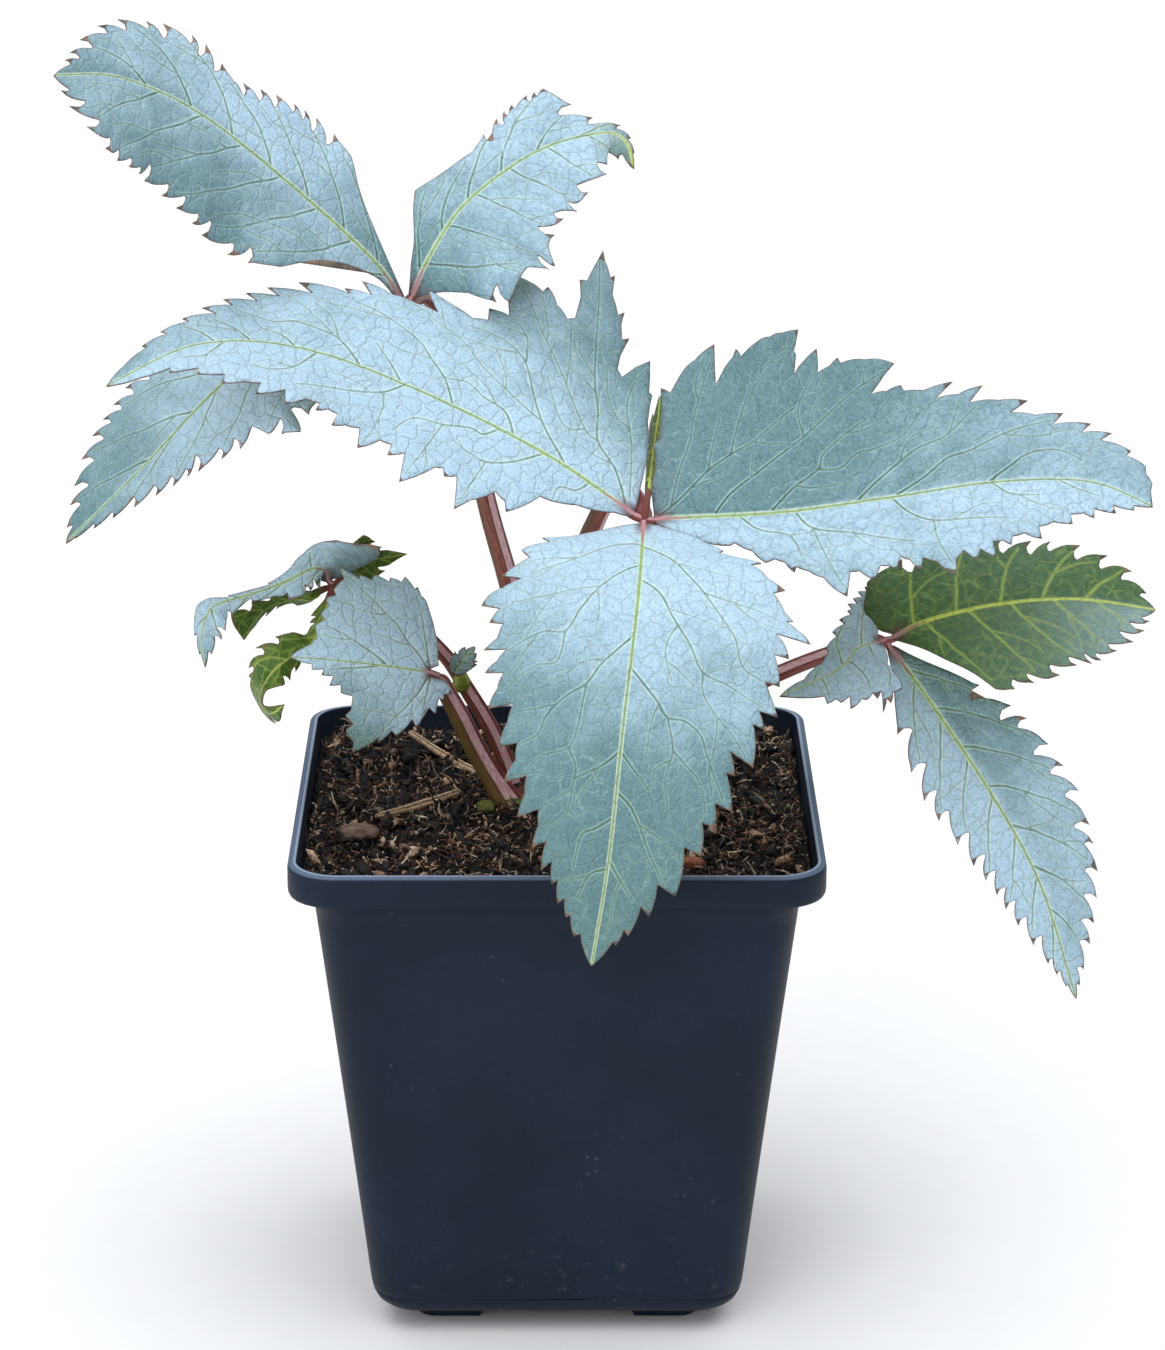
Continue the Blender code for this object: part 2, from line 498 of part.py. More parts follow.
# ---------------------------------------------------------------- the pot
def wall_half(z):
    """Outer half width of the wall at a height."""
    low, high = 12.0, POT_HEIGHT - RIM_BAND
    return WALL_FOOT_HALF + (WALL_TOP_HALF - WALL_FOOT_HALF) * (z - low) / (high - low)


def ring_at(half, radius, z, feet=False):
    """A level ring; one that runs along the feet rises between them."""
    ring = []
    for x, y in rounded_square(half, radius):
        raised = feet and min(abs(x), abs(y)) < FOOT_IN + 0.5
        ring.append((x, y, z + (SKIRT_LIFT if raised else 0)))
    return ring


def pot_shape():
    under_rim = POT_HEIGHT - RIM_BAND
    inside_top = wall_half(under_rim) - WALL
    return stacked([
        ring_at(32.5, 3.0, FLOOR_UNDER),
        ring_at(32.7, 3.2, 0, feet=True),
        ring_at(35.4, 4.5, 0, feet=True),
        ring_at(36.4, 5.0, 2.6),
        ring_at(39.5, 7.0, 3.9),
        ring_at(42.9, 8.6, 5.2),
        ring_at(44.6, 9.2, 6.5),
        ring_at(45.7, 9.5, 8.2),
        ring_at(wall_half(12), 9.9, 12.0),
        ring_at(wall_half(under_rim), WALL_RADIUS, under_rim),
        ring_at(RIM_HALF - 1.0, RIM_RADIUS - 1, under_rim + 0.1),
        ring_at(RIM_HALF - 0.2, RIM_RADIUS - 0.2, under_rim + 0.9),
        ring_at(RIM_HALF, RIM_RADIUS, POT_HEIGHT - 1.2),
        ring_at(RIM_HALF - 0.4, RIM_RADIUS - 0.4, POT_HEIGHT - 0.35),
        ring_at(RIM_HALF - 1.2, RIM_RADIUS - 1.2, POT_HEIGHT),
        ring_at(RIM_HALF - 3.6, RIM_RADIUS - 2.4, POT_HEIGHT),
        ring_at(RIM_HALF - 4.8, RIM_RADIUS - 3.0, POT_HEIGHT - 0.8),
        ring_at(inside_top, WALL_RADIUS - WALL, under_rim - 1),
        ring_at(wall_half(14) - WALL, 8.6, 14.0),
        ring_at(42.4, 7.2, 7.4),
        ring_at(38.5, 6.0, FLOOR_TOP),
    ])


def upright(x, y, radius, low, high, sides=12):
    """An upright cylinder."""
    rings = []
    for z in (low, high):
        turns = [2 * math.pi * k / sides for k in range(sides)]
        rings.append([(x + radius * math.cos(a), y + radius * math.sin(a), z) for a in turns])
    return stacked(rings)


POT_COLOUR = (0.020, 0.026, 0.040)
pot = make("pot", pot_shape(), POT_COLOUR, 0.5)
combine(pot, "centre_pad", upright(0, 0, CENTRE_PAD_RADIUS, 0, FLOOR_UNDER + 0.9, 24), "UNION")
for number, (sx, sy) in enumerate([(1, 1), (-1, 1), (-1, -1), (1, -1)]):
    hole = upright(sx * DRAIN_OFFSET, sy * DRAIN_OFFSET, DRAIN_RADIUS, -1, 9)
    combine(pot, "drain_hole_%d" % number, hole, "DIFFERENCE")


# ---------------------------------------------------------------- the soil
def soil_height(x, y):
    """Height of the soil's surface: a low mound round the crown, slightly uneven."""
    from_crown = math.hypot(x - CROWN_CENTRE[0], y - CROWN_CENTRE[1])
    mound = SOIL_MOUND * math.exp(-(from_crown / 24) ** 2)
    uneven = 0.5 * math.sin(x / 6.5 + 1.2) * math.cos(y / 7.5) + 0.4 * math.sin((x - y) / 11)
    return SOIL_TOP + mound + uneven


def soil_shape():
    rings = [
        ring_at(38.0, 5.7, FLOOR_TOP + CLEARANCE),
        ring_at(42.0, 6.9, 7.5 + CLEARANCE),
        ring_at(wall_half(14) - WALL - CLEARANCE, 8.3, 14.0),
    ]
    edge = wall_half(116) - WALL - CLEARANCE
    for half, radius in ((edge, 8.8), (edge - 7, 7.5), (40, 6), (30, 5), (20, 4), (10, 2.5), (3, 1)):
        rings.append([(x, y, soil_height(x, y)) for x, y in rounded_square(half, radius)])
    return stacked(rings)


soil = make("soil", soil_shape(), (0.045, 0.026, 0.016), 0.95)
enlarged = tuple(r + CLEARANCE for r in CROWN_RADII)
combine(soil, "crown_pocket", ball(CROWN_CENTRE, enlarged), "DIFFERENCE")

# ---------------------------------------------------------------- the plant
STALK_COLOUR = (0.20, 0.055, 0.040)
BLADE_COLOUR = (0.28, 0.42, 0.46)
crown = make("crown", ball(CROWN_CENTRE, CROWN_RADII), (0.16, 0.085, 0.05), 0.7)
for name, (path, radii) in STALKS.items():
    make(name, swept(path, radii), STALK_COLOUR, 0.45)
    combine(crown, name + "_socket", swept(path, radii, rows=4, extra=CLEARANCE), "DIFFERENCE")
for name, spec in LEAFLETS.items():
    make(name, blade_mesh(name, spec), BLADE_COLOUR, 0.5)

make("young_leaf_sheath", ball(**YOUNG_SHEATH, rows=5, sides=8), (0.30, 0.36, 0.05), 0.5)
make("base_sheath", ball(**BASE_SHEATH, rows=5, sides=8, seed=3, rough=0.1), (0.14, 0.17, 0.04), 0.6)
make("dry_stalk_long", swept(**DRY_STALK_LONG, sides=8, pieces=4), (0.30, 0.18, 0.09), 0.7)
make("dry_stalk_short", swept(**DRY_STALK_SHORT, sides=8, pieces=4), (0.34, 0.20, 0.10), 0.7)
make("bark_chip_left", ball(**BARK_LEFT, rows=5, sides=9, seed=5, rough=0.12), (0.16, 0.075, 0.045), 0.8)
make("bark_chip_front", ball(**BARK_FRONT, rows=5, sides=8, seed=8, rough=0.12), (0.20, 0.07, 0.035), 0.8)
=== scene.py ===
# %% [markdown]
# # A young hellebore in a square nursery pot
# The plant's solids come from the CAD part.  In this lesson each of them gets the skin
# that the real thing has: veined leaves, grooved stalks, loose soil and moulded plastic.
# Every piece is made where its solid is, so the plant keeps its size.

# %% Load the solids
import math
import random

import bmesh
import bpy
import numpy as np
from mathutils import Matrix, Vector, geometry, kdtree


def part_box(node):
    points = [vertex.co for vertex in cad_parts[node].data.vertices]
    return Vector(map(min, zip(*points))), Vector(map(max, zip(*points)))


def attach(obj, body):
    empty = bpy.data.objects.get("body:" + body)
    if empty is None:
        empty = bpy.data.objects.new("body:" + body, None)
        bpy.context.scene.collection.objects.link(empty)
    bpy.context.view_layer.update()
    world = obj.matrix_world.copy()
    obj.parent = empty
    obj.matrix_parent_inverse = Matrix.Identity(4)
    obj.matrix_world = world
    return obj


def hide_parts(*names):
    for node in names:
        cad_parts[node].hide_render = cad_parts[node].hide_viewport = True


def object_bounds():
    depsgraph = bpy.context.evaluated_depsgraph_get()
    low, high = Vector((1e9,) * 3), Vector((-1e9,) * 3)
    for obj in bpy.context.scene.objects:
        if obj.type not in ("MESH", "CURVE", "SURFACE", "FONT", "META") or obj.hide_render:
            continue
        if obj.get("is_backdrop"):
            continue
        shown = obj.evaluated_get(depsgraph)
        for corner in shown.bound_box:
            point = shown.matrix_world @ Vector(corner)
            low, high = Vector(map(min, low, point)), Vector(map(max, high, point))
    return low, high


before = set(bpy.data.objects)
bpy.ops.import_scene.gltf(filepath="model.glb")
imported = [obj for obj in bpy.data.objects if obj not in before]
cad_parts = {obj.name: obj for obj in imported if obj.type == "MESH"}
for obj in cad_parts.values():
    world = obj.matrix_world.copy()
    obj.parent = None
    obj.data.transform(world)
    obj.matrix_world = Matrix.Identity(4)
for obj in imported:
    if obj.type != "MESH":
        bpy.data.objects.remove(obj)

MM = 0.001
cad_box = [list(corner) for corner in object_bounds()]
print("solids:", len(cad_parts))

# %% [markdown]
# ## The camera
# The pot's front is the side that faces -Y.  The camera stands in front of it and looks
# down by 18 degrees.  A short lens from nearby would splay the pot's sides, so this one is
# long and stands a metre away, which keeps them nearly straight.

# %% Camera
LOOKS_DOWN = 18.35         # degrees

scene = bpy.context.scene
view = bpy.data.objects.new("camera", bpy.data.cameras.new("camera"))
scene.collection.objects.link(view)
scene.camera = view
view.location = (0, -1.0736, 0.5156)
view.rotation_euler = (math.radians(90 - LOOKS_DOWN), 0, 0)
view.data.sensor_width = 36
view.data.lens = 120.7
view.data.shift_x = 0.0189
view.data.clip_end = 50
print("camera", round(view.location.length, 3), "m from the pot's foot")

# %% [markdown]
# ## Light
# Leaves show their form under soft light from above: brightest where they face up, dim
# where they hang.  A sun lamp with a very wide disc gives that with one lamp, as an
# overcast sky does, and a soft panel in front opens the shadows.

# %% Light
SKY_COLOUR = (0.93, 0.96, 1.0, 1)
SKY_STRENGTH = 0.42

scene.view_settings.view_transform = "Standard"
world = bpy.data.worlds.new("sky")
scene.world = world
world.use_nodes = True
sky = world.node_tree.nodes["Background"]
sky.inputs["Color"].default_value = SKY_COLOUR
sky.inputs["Strength"].default_value = SKY_STRENGTH


def lamp(name, kind, place, aim, power, size):
    """A soft lamp at a place, turned towards a point; a sun's size is its angle in degrees."""
    light = bpy.data.lights.new(name, kind)
    light.energy = power
    if kind == "SUN":
        light.angle = math.radians(size)
    else:
        light.size = size
    obj = bpy.data.objects.new(name, light)
    scene.collection.objects.link(obj)
    obj.location = place
    obj.rotation_euler = (Vector(place) - Vector(aim)).to_track_quat("Z", "Y").to_euler()
    print(name, power)


lamp("overcast_sky", "SUN", place=(0.1, -0.25, 2.0), aim=(0, 0, 0), power=2.5, size=80)
lamp("front_panel", "AREA", place=(-0.8, -1.5, 0.9), aim=(0, 0, 0.15), power=11, size=1.2)

# %% [markdown]
# ## A short way to write materials
# A material is a small network of nodes.  This class adds a node in one short call and
# plugs in either a number or another node's output, so that a paint reads like a recipe.

# %% Colours and paints
def rgb(red, green, blue):
    """A screen colour, 0 to 255, as the linear colour that shaders want."""
    out = []
    for v in (red, green, blue):
        v /= 255
        out.append(v / 12.92 if v <= 0.04045 else ((v + 0.055) / 1.055) ** 2.4)
    return (*out, 1.0)


class Paint:
    """A material under construction, with short ways to add nodes."""

    def __init__(self, name):
        self.material = bpy.data.materials.new(name)
        self.material.use_nodes = True
        self.tree = self.material.node_tree
        self.surface = self.tree.nodes["Principled BSDF"]

    def plug(self, socket, value):
        if isinstance(value, bpy.types.NodeSocket):
            self.tree.links.new(value, socket)
        else:
            socket.default_value = value

    def add(self, kind, inputs=None, **settings):
        node = self.tree.nodes.new("ShaderNode" + kind)
        for key, value in settings.items():
            setattr(node, key, value)
        for key, value in (inputs or {}).items():
            self.plug(node.inputs[key], value)
        return node

    def math(self, operation, *values):
        return self.add("Math", dict(enumerate(values)), operation=operation).outputs[0]

    def times(self, a, b):
        return self.math("MULTIPLY", a, b)

    def mix(self, factor, a, b):
        return self.add("Mix", {0: factor, 6: a, 7: b}, data_type="RGBA").outputs[2]

    def step(self, value, low, high, start=0.0, end=1.0):
        """Goes smoothly from start to end while value goes from low to high."""
        sockets = {0: value, 1: low, 2: high, 3: start, 4: end}
        return self.add("MapRange", sockets, interpolation_type="SMOOTHSTEP").outputs[0]

    def place(self):
        """The point's own place on the object, in metres."""
        return self.add("TexCoord").outputs["Object"]

    def height(self, place):
        return self.add("SeparateXYZ", {0: place}).outputs[2]

    def value(self, name):
        """A number that the mesh keeps for each of its points."""
        return self.add("Attribute", attribute_name=name).outputs["Fac"]

    def vector(self, name):
        return self.add("Attribute", attribute_name=name).outputs["Vector"]

    def noise(self, vector, scale, detail=3.0, roughness=0.5):
        sockets = {"Vector": vector, "Scale": scale, "Detail": detail, "Roughness": roughness}
        return self.add("TexNoise", sockets).outputs[0]

    def bump(self, height, strength, distance):
        sockets = {"Height": height, "Strength": strength, "Distance": distance}
        return self.add("Bump", sockets).outputs[0]

    def finish(self, colour, roughness, normal=None, **others):
        self.plug(self.surface.inputs["Base Color"], colour)
        self.plug(self.surface.inputs["Roughness"], roughness)
        if normal is not None:
            self.plug(self.surface.inputs["Normal"], normal)
        for key, value in others.items():
            self.plug(self.surface.inputs[key.replace("_", " ")], value)
        return self.material


print("white as a shader wants it:", rgb(255, 255, 255))

# %% [markdown]
# ## Floor
# A large sheet of white paper lies just under the pot and takes its shadow, so that the pot
# is seen to stand.

# %% Floor
FLOOR_GAP = 0.0002         # metres below the pot's feet

floor_mesh = bpy.data.meshes.new("floor")
floor_mesh.from_pydata([(-6, -6, 0), (6, -6, 0), (6, 8, 0), (-6, 8, 0)], [], [(0, 1, 2, 3)])
floor = bpy.data.objects.new("floor", floor_mesh)
scene.collection.objects.link(floor)
floor.location.z = cad_box[0][2] - FLOOR_GAP
paper = Paint("floor_paper")
paper.finish(paper.mix(paper.noise(paper.place(), 90), rgb(244, 245, 246), rgb(240, 241, 243)), 0.9)
floor_mesh.materials.append(paper.material)
floor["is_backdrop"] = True
print("floor at", round(floor.location.z, 5))

# %% [markdown]
# ## Curves
# Leaves and stalks both follow a smooth line through a few points.  These helpers draw
# the line, measure along it and cut it into even steps.

# %% Curves
def unit(v):
    return v / np.linalg.norm(v, axis=-1, keepdims=True)


def smooth_path(points, steps):
    """A smooth curve through the points, with the given number of steps between each two."""
    p = np.asarray(points, float)
    ends = np.vstack([2 * p[0] - p[1], p, 2 * p[-1] - p[-2]])
    out = []
    for i in range(len(p) - 1):
        a, b, c, d = ends[i:i + 4]
        t = np.linspace(0, 1, steps, endpoint=False)[:, None]
        out.append(0.5 * (2 * b + (c - a) * t + (2 * a - 5 * b + 4 * c - d) * t ** 2
                          + (3 * b - a - 3 * c + d) * t ** 3))
    return np.vstack(out + [p[-1:]])


def travelled(points):
    """How far along the line each of its points is."""
    return np.concatenate([[0], np.cumsum(np.linalg.norm(np.diff(points, axis=0), axis=1))])


def evenly(points, spacing):
    """The same line with points about that far apart."""
    at = travelled(points)
    count = max(1, int(round(at[-1] / spacing)))
    new = np.linspace(0, at[-1], count + 1)
    return np.stack([np.interp(new, at, points[:, k]) for k in range(points.shape[1])], 1)


print("steps in a 10 mm line:", len(evenly(np.array([(0.0, 0), (10, 0)]), 1.0)) - 1)

# %% [markdown]
# ## Bent sheets
# A real leaflet is a flat sheet that has bent and folded as it grew.  Sculpting it in
# place would spoil its teeth and veins, so it is drawn flat, with x along its midrib and y
# across it.  The bent sheet then carries every flat point into space: along the midrib, up
# by the fold and round by the curl of each half.

# %% Bent sheets
STATIONS = 60              # places along a midrib where its directions are kept


class BentSheet:
    """Bends a flat leaflet onto its midrib.

    face is where the upper side looks, at the base and at the tip.  fold is how far the
    left and right halves lean up from flat, in degrees, and curl adds to that with every
    10 mm outwards.
    """

    def __init__(self, midrib, face, fold, curl):
        dense = smooth_path(midrib, 24)
        at = travelled(dense)
        self.length = at[-1]
        self.at = np.linspace(0, self.length, STATIONS)
        self.mid = np.stack([np.interp(self.at, at, dense[:, k]) for k in range(3)], 1)
        self.along = unit(np.gradient(self.mid, self.at, axis=0))
        t = (self.at / self.length)[:, None]
        base, tip = unit(np.array(face, float))
        up = base * (1 - t) + tip * t
        self.up = unit(up - self.along * (up * self.along).sum(1, keepdims=True))
        self.left = np.cross(self.up, self.along)
        self.fold = np.radians(fold)
        self.curl = np.radians(curl) / 10

    def along_midrib(self, values, x):
        return np.stack([np.interp(x, self.at, values[:, k]) for k in range(3)], -1)

    def place(self, x, y):
        """Points in space and the upper side's normals for flat points x, y."""
        inside = np.clip(x, 0, self.length)
        kept = (self.mid, self.along, self.up, self.left)
        mid, along, up, left = [self.along_midrib(values, inside) for values in kept]
        mid = mid + along * (x - inside)[:, None]
        side = np.where(y >= 0, 0, 1)
        sign = np.where(y >= 0, 1.0, -1.0)
        sign[np.abs(y) < 1e-6] = 0
        fold = self.fold[side]
        curl = np.where(np.abs(self.curl[side]) < 1e-6, 1e-6, self.curl[side])
        turned = fold + curl * np.abs(y)
        out = (np.sin(turned) - np.sin(fold)) / curl
        rise = (np.cos(fold) - np.cos(turned)) / curl
        point = mid + left * (sign * out)[:, None] + up * rise[:, None]
        normal = unit(up * np.cos(turned)[:, None] - left * (sign * np.sin(turned))[:, None])
        return point, normal


def bent(spec):
    return BentSheet(spec["midrib"], spec["face"], spec["fold"], spec["curl"])


strip = BentSheet([(0, 0, 0), (5, 0, 0), (10, 0, 0)], [(0, 0, 1), (0, 0, 1)], (0, 0), (0, 0))
print("a straight sheet is", round(strip.length, 1), "mm long")

# %% [markdown]
# ## The stalks' paths
# Each stalk is a few points in millimetres, from the crown to the leaf's hub, and its
# radius from foot to head.

# %% Stalk paths
STALKS = {
    "main_leaf_petiole": (
        [(-3, 17, 118.5), (0, 13, 150), (6, 7, 186), (10, 4, 199), (14, 0, 207), (18, -9, 210.5),
         (20.5, -19, 208.6), (21, -24, 207)],
        (3.2, 2.8, 2.5, 2.1)),
    "top_leaf_petiole": (
        [(-2, 27, 118.5), (-6, 22, 150), (-12, 16, 178), (-18, 14, 202), (-24, 20, 232),
         (-29, 20, 247), (-33, 17, 252.6), (-37, 10, 251.5)],
        (3.1, 2.7, 2.3, 1.9)),
    "right_leaf_petiole": (
        [(5, 21, 118.5), (20, 16, 135), (38, 11, 147), (56, 6, 158), (70, 2, 165),
         (81.5, -6, 170.5)],
        (2.6, 2.3, 2.0, 1.8)),
    "low_leaf_petiole": (
        [(-12, 17, 118.5), (-20, 13, 134), (-25, 7, 147), (-30, 0.9, 158.9)],
        (3.0, 2.8, 2.6, 2.1)),
    "small_leaf_petiole": (
        [(-9.5, 24.5, 118.5), (-16, 27, 134), (-23, 26, 147), (-29, 25, 157), (-41, 24, 169),
         (-51, 22, 175), (-56.5, 19, 177)],
        (2.3, 2.1, 1.8, 1.6)),
}
print("stalks:", len(STALKS))

# %% [markdown]
# ## The main leaf
# Each leaflet has a midrib in space and a margin on either side, drawn flat as runs of
# points from base to tip.  A run says how many saw teeth it carries: 0 is a smooth edge,
# and -1 is an edge whose teeth are given corner by corner, since they are large and
# uneven.

# %% Main leaf
LEAFLETS = {
    "main_leaflet_left": dict(
        midrib=[(18.5, -24, 208.5), (-3, -22, 223), (-33, -20, 238), (-61, -22, 249),
                (-85, -30, 252), (-106, -42, 245)],
        face=[(0, -0.6, 0.8), (0, -0.5, 0.85)], fold=(5, 5), curl=(-3, -3),
        left=[(-1, [
            (0, 1), (4, 3), (13, 8), (20, 11.5), (22, 11.8), (28, 20.5), (29.5, 18), (32.5, 17),
            (37, 22.5), (40, 27.5), (43, 19), (46, 21), (47, 19), (49, 20), (56.5, 28.5), (58, 20),
            (62, 22.3), (62, 19), (65, 19), (70, 23.5), (71, 18), (75, 19), (79, 21), (78, 17),
            (81, 17), (85, 19.2), (84, 16.5), (88.5, 17), (96, 20.5), (95.5, 16), (105.5, 18),
            (103, 14.5), (108, 14), (115, 14.2), (113, 11.5), (121, 9.8), (119.5, 8), (127, 5.8),
            (126, 4.5), (133, 3), (141, 0)])],
        right=[(0, [(0, 1), (5, 16.5), (9, 24)]),
               (-1, [
            (9, 24), (10.5, 28.5), (11.3, 32), (12.3, 32.5), (15.5, 42.5), (17.5, 38), (19, 32.5),
            (20.5, 34), (21.3, 38.5), (21.3, 46), (22.5, 44), (24, 48.5), (24.5, 53), (25.5, 50.5),
            (28.5, 54.5), (30, 60.5), (30.8, 58.5), (33.5, 61.5), (35, 64), (35.3, 55.5),
            (35.3, 52), (36.8, 51), (35, 46.5), (34, 39.5), (35.5, 38), (39, 40.5), (42.5, 45),
            (43, 43), (46.5, 45.5), (50, 47), (54, 46.8), (50.5, 43), (49, 37.5), (47.5, 32.5),
            (52, 33), (51.3, 29), (54.5, 28), (59, 30), (66, 31), (62, 25.5), (67, 25), (73, 24),
            (79.5, 24.8), (77, 21.5), (82.5, 21.3), (81.5, 20), (86, 21), (91, 21.3), (88.5, 18),
            (97, 18.7), (95, 16), (101.5, 16.2), (99.5, 13.7), (106.5, 13.8), (105, 11.8),
            (111.5, 11.2), (109, 9), (116.5, 8.8), (115.5, 7.5), (122, 7), (121, 5.8), (127.5, 5.5),
            (127, 4.5), (134, 3), (141, 0)])]),
    "main_leaflet_right": dict(
        midrib=[(23.4, -24.2, 207.2), (54, -28, 210), (82, -28, 214), (106, -26, 217),
                (128, -26, 217), (143, -30, 212)],
        face=[(0, -0.55, 0.8), (0, -0.5, 0.85)], fold=(18, 2), curl=(0, -5),
        left=[(0, [(0, 1), (-0.5, 8), (0.5, 14), (0, 19)]),
              (-1, [
            (0, 19), (1.5, 20.5), (2, 27), (1.8, 33.5), (4, 32.3), (6.5, 37.5), (9.5, 41.5),
            (14, 46.5), (14.3, 40), (14.6, 35.5), (16.5, 39.5), (19, 42.3), (20, 44.5), (21.7, 42),
            (26, 44), (31.5, 45.3), (36, 47), (41, 48.5), (39.5, 44), (38.8, 42.6), (39.3, 41.5),
            (38, 36), (41, 39.5), (45.5, 42.5), (45.3, 39), (44.8, 36), (48, 36.8), (50.5, 38.2),
            (51, 36.6), (57, 36), (65, 35), (61, 31.5), (57, 27), (61, 27.5), (65.5, 29),
            (66, 27.5), (71, 27), (77.5, 27.5), (73.5, 24.3), (78, 24), (83, 25.3), (80, 21.3),
            (86, 21.3), (92.5, 21.3), (88.5, 18), (94, 17.5), (99.5, 18), (97.5, 15), (104.5, 15.5),
            (103, 13), (108, 13.8), (106.5, 11.5), (112, 10.8), (111.5, 9.3), (116, 8.8), (117, 7),
            (119.5, 5.5), (120, 3.5), (122, 0)])],
        right=[(-1, [
            (0, 1), (3, 3), (13, 8), (19, 9.5), (20, 8.8), (24, 11.5), (27, 15), (29, 14), (31, 15),
            (33, 18), (33.5, 16.5), (36, 18), (39, 20.5), (43.5, 27), (45, 20.5), (47, 20.8),
            (50, 24), (52, 20), (54, 20.3), (55.5, 21.5), (57, 18), (59, 19), (61, 22), (62, 19),
            (64.5, 20.5), (68, 25.5), (69, 21), (71, 19.5), (73.7, 23), (75, 20), (79, 23),
            (79, 18.3), (82, 18), (84.3, 19.2), (85, 16.8), (88, 16), (92.5, 18), (92, 14.5),
            (96, 13.5), (101.5, 14.3), (101, 11.3), (105, 10.5), (109.5, 11), (108.5, 8.3),
            (115, 6.8), (113.5, 5), (118.5, 3.5), (118, 2.2), (122, 0)])]),
    "main_leaflet_front": dict(
        midrib=[(20.9, -25.7, 206.5), (19, -58, 197), (15, -84, 172), (12, -94, 146),
                (8, -96, 120)],
        face=[(0, -0.45, 1), (0, -1, 0.25)], fold=(4, 4), curl=(-3, -3),
        left=[(-1, [
            (0, 1), (2, 5), (4, 9), (8, 15), (11.5, 19.5), (13, 18.5), (16, 24), (19, 28.5),
            (20, 26), (24, 30), (26.5, 34.5), (27.5, 31.8), (32, 35), (34.5, 37), (35, 35.5),
            (38, 38), (42.5, 41), (40.5, 33), (46.5, 36.5), (46, 33), (52.5, 35.3), (52, 31.8),
            (61, 35.3), (60, 31), (65, 32.3), (64, 29.8), (74, 31), (71, 25.3), (76.5, 27),
            (76, 25), (85, 27), (83.5, 23), (89, 23.3), (88, 20.5), (95.5, 21), (94, 17),
            (105, 16.5), (103, 12), (110.5, 11.2), (108.5, 9), (116, 7.2), (114.8, 6), (119, 4.8),
            (118.2, 4), (125, 0)])],
        right=[(-1, [
            (0, 1), (2, 6), (4.5, 11), (8, 17.5), (9.5, 24), (12.5, 22), (16.5, 28.5), (19, 26.5),
            (24.5, 33), (26.5, 28.3), (33, 32), (39.5, 36.3), (40, 32), (43.3, 34.2), (43.5, 31),
            (47, 32), (51, 34.8), (50.5, 29.5), (54.5, 31), (58.5, 33.2), (58, 29), (62, 30),
            (66.5, 31.8), (65, 26), (69, 27), (75.5, 28.2), (74, 24), (78, 24), (83.5, 26),
            (81.5, 21), (85.5, 21), (91.5, 22.2), (89, 17.5), (93, 17.2), (98.5, 18), (96.5, 15),
            (103.5, 15.2), (101, 13), (106.5, 12.3), (105.3, 11), (111, 10.2), (109.5, 8.8),
            (114, 7.8), (113.5, 6.8), (118.5, 5.2), (117.5, 3.8), (121, 2.5), (125, 0)])]),
    "main_leaflet_back": dict(
        midrib=[(21.8, -22.3, 211.4), (22.6, -15, 215), (23.4, -8, 220), (24.6, 0, 225),
                (25.4, 6, 230)],
        face=[(0, 0.75, -0.65), (0, 0.75, -0.65)], fold=(66, 66), curl=(0, 0),
        left=[(0, [(0, 1), (6, 2.2), (14, 3)]), (4, [(14, 3), (22, 6), (28, 5), (34, 0)])],
        right=[(0, [(0, 1), (6, 2.2), (14, 3)]), (4, [(14, 3), (22, 6), (28, 5), (34, 0)])]),
}
print("main leaflets:", len(LEAFLETS))

# %% [markdown]
# ## The top leaf
# Three leaflets stand at the end of the tallest stalk, and one of them droops.

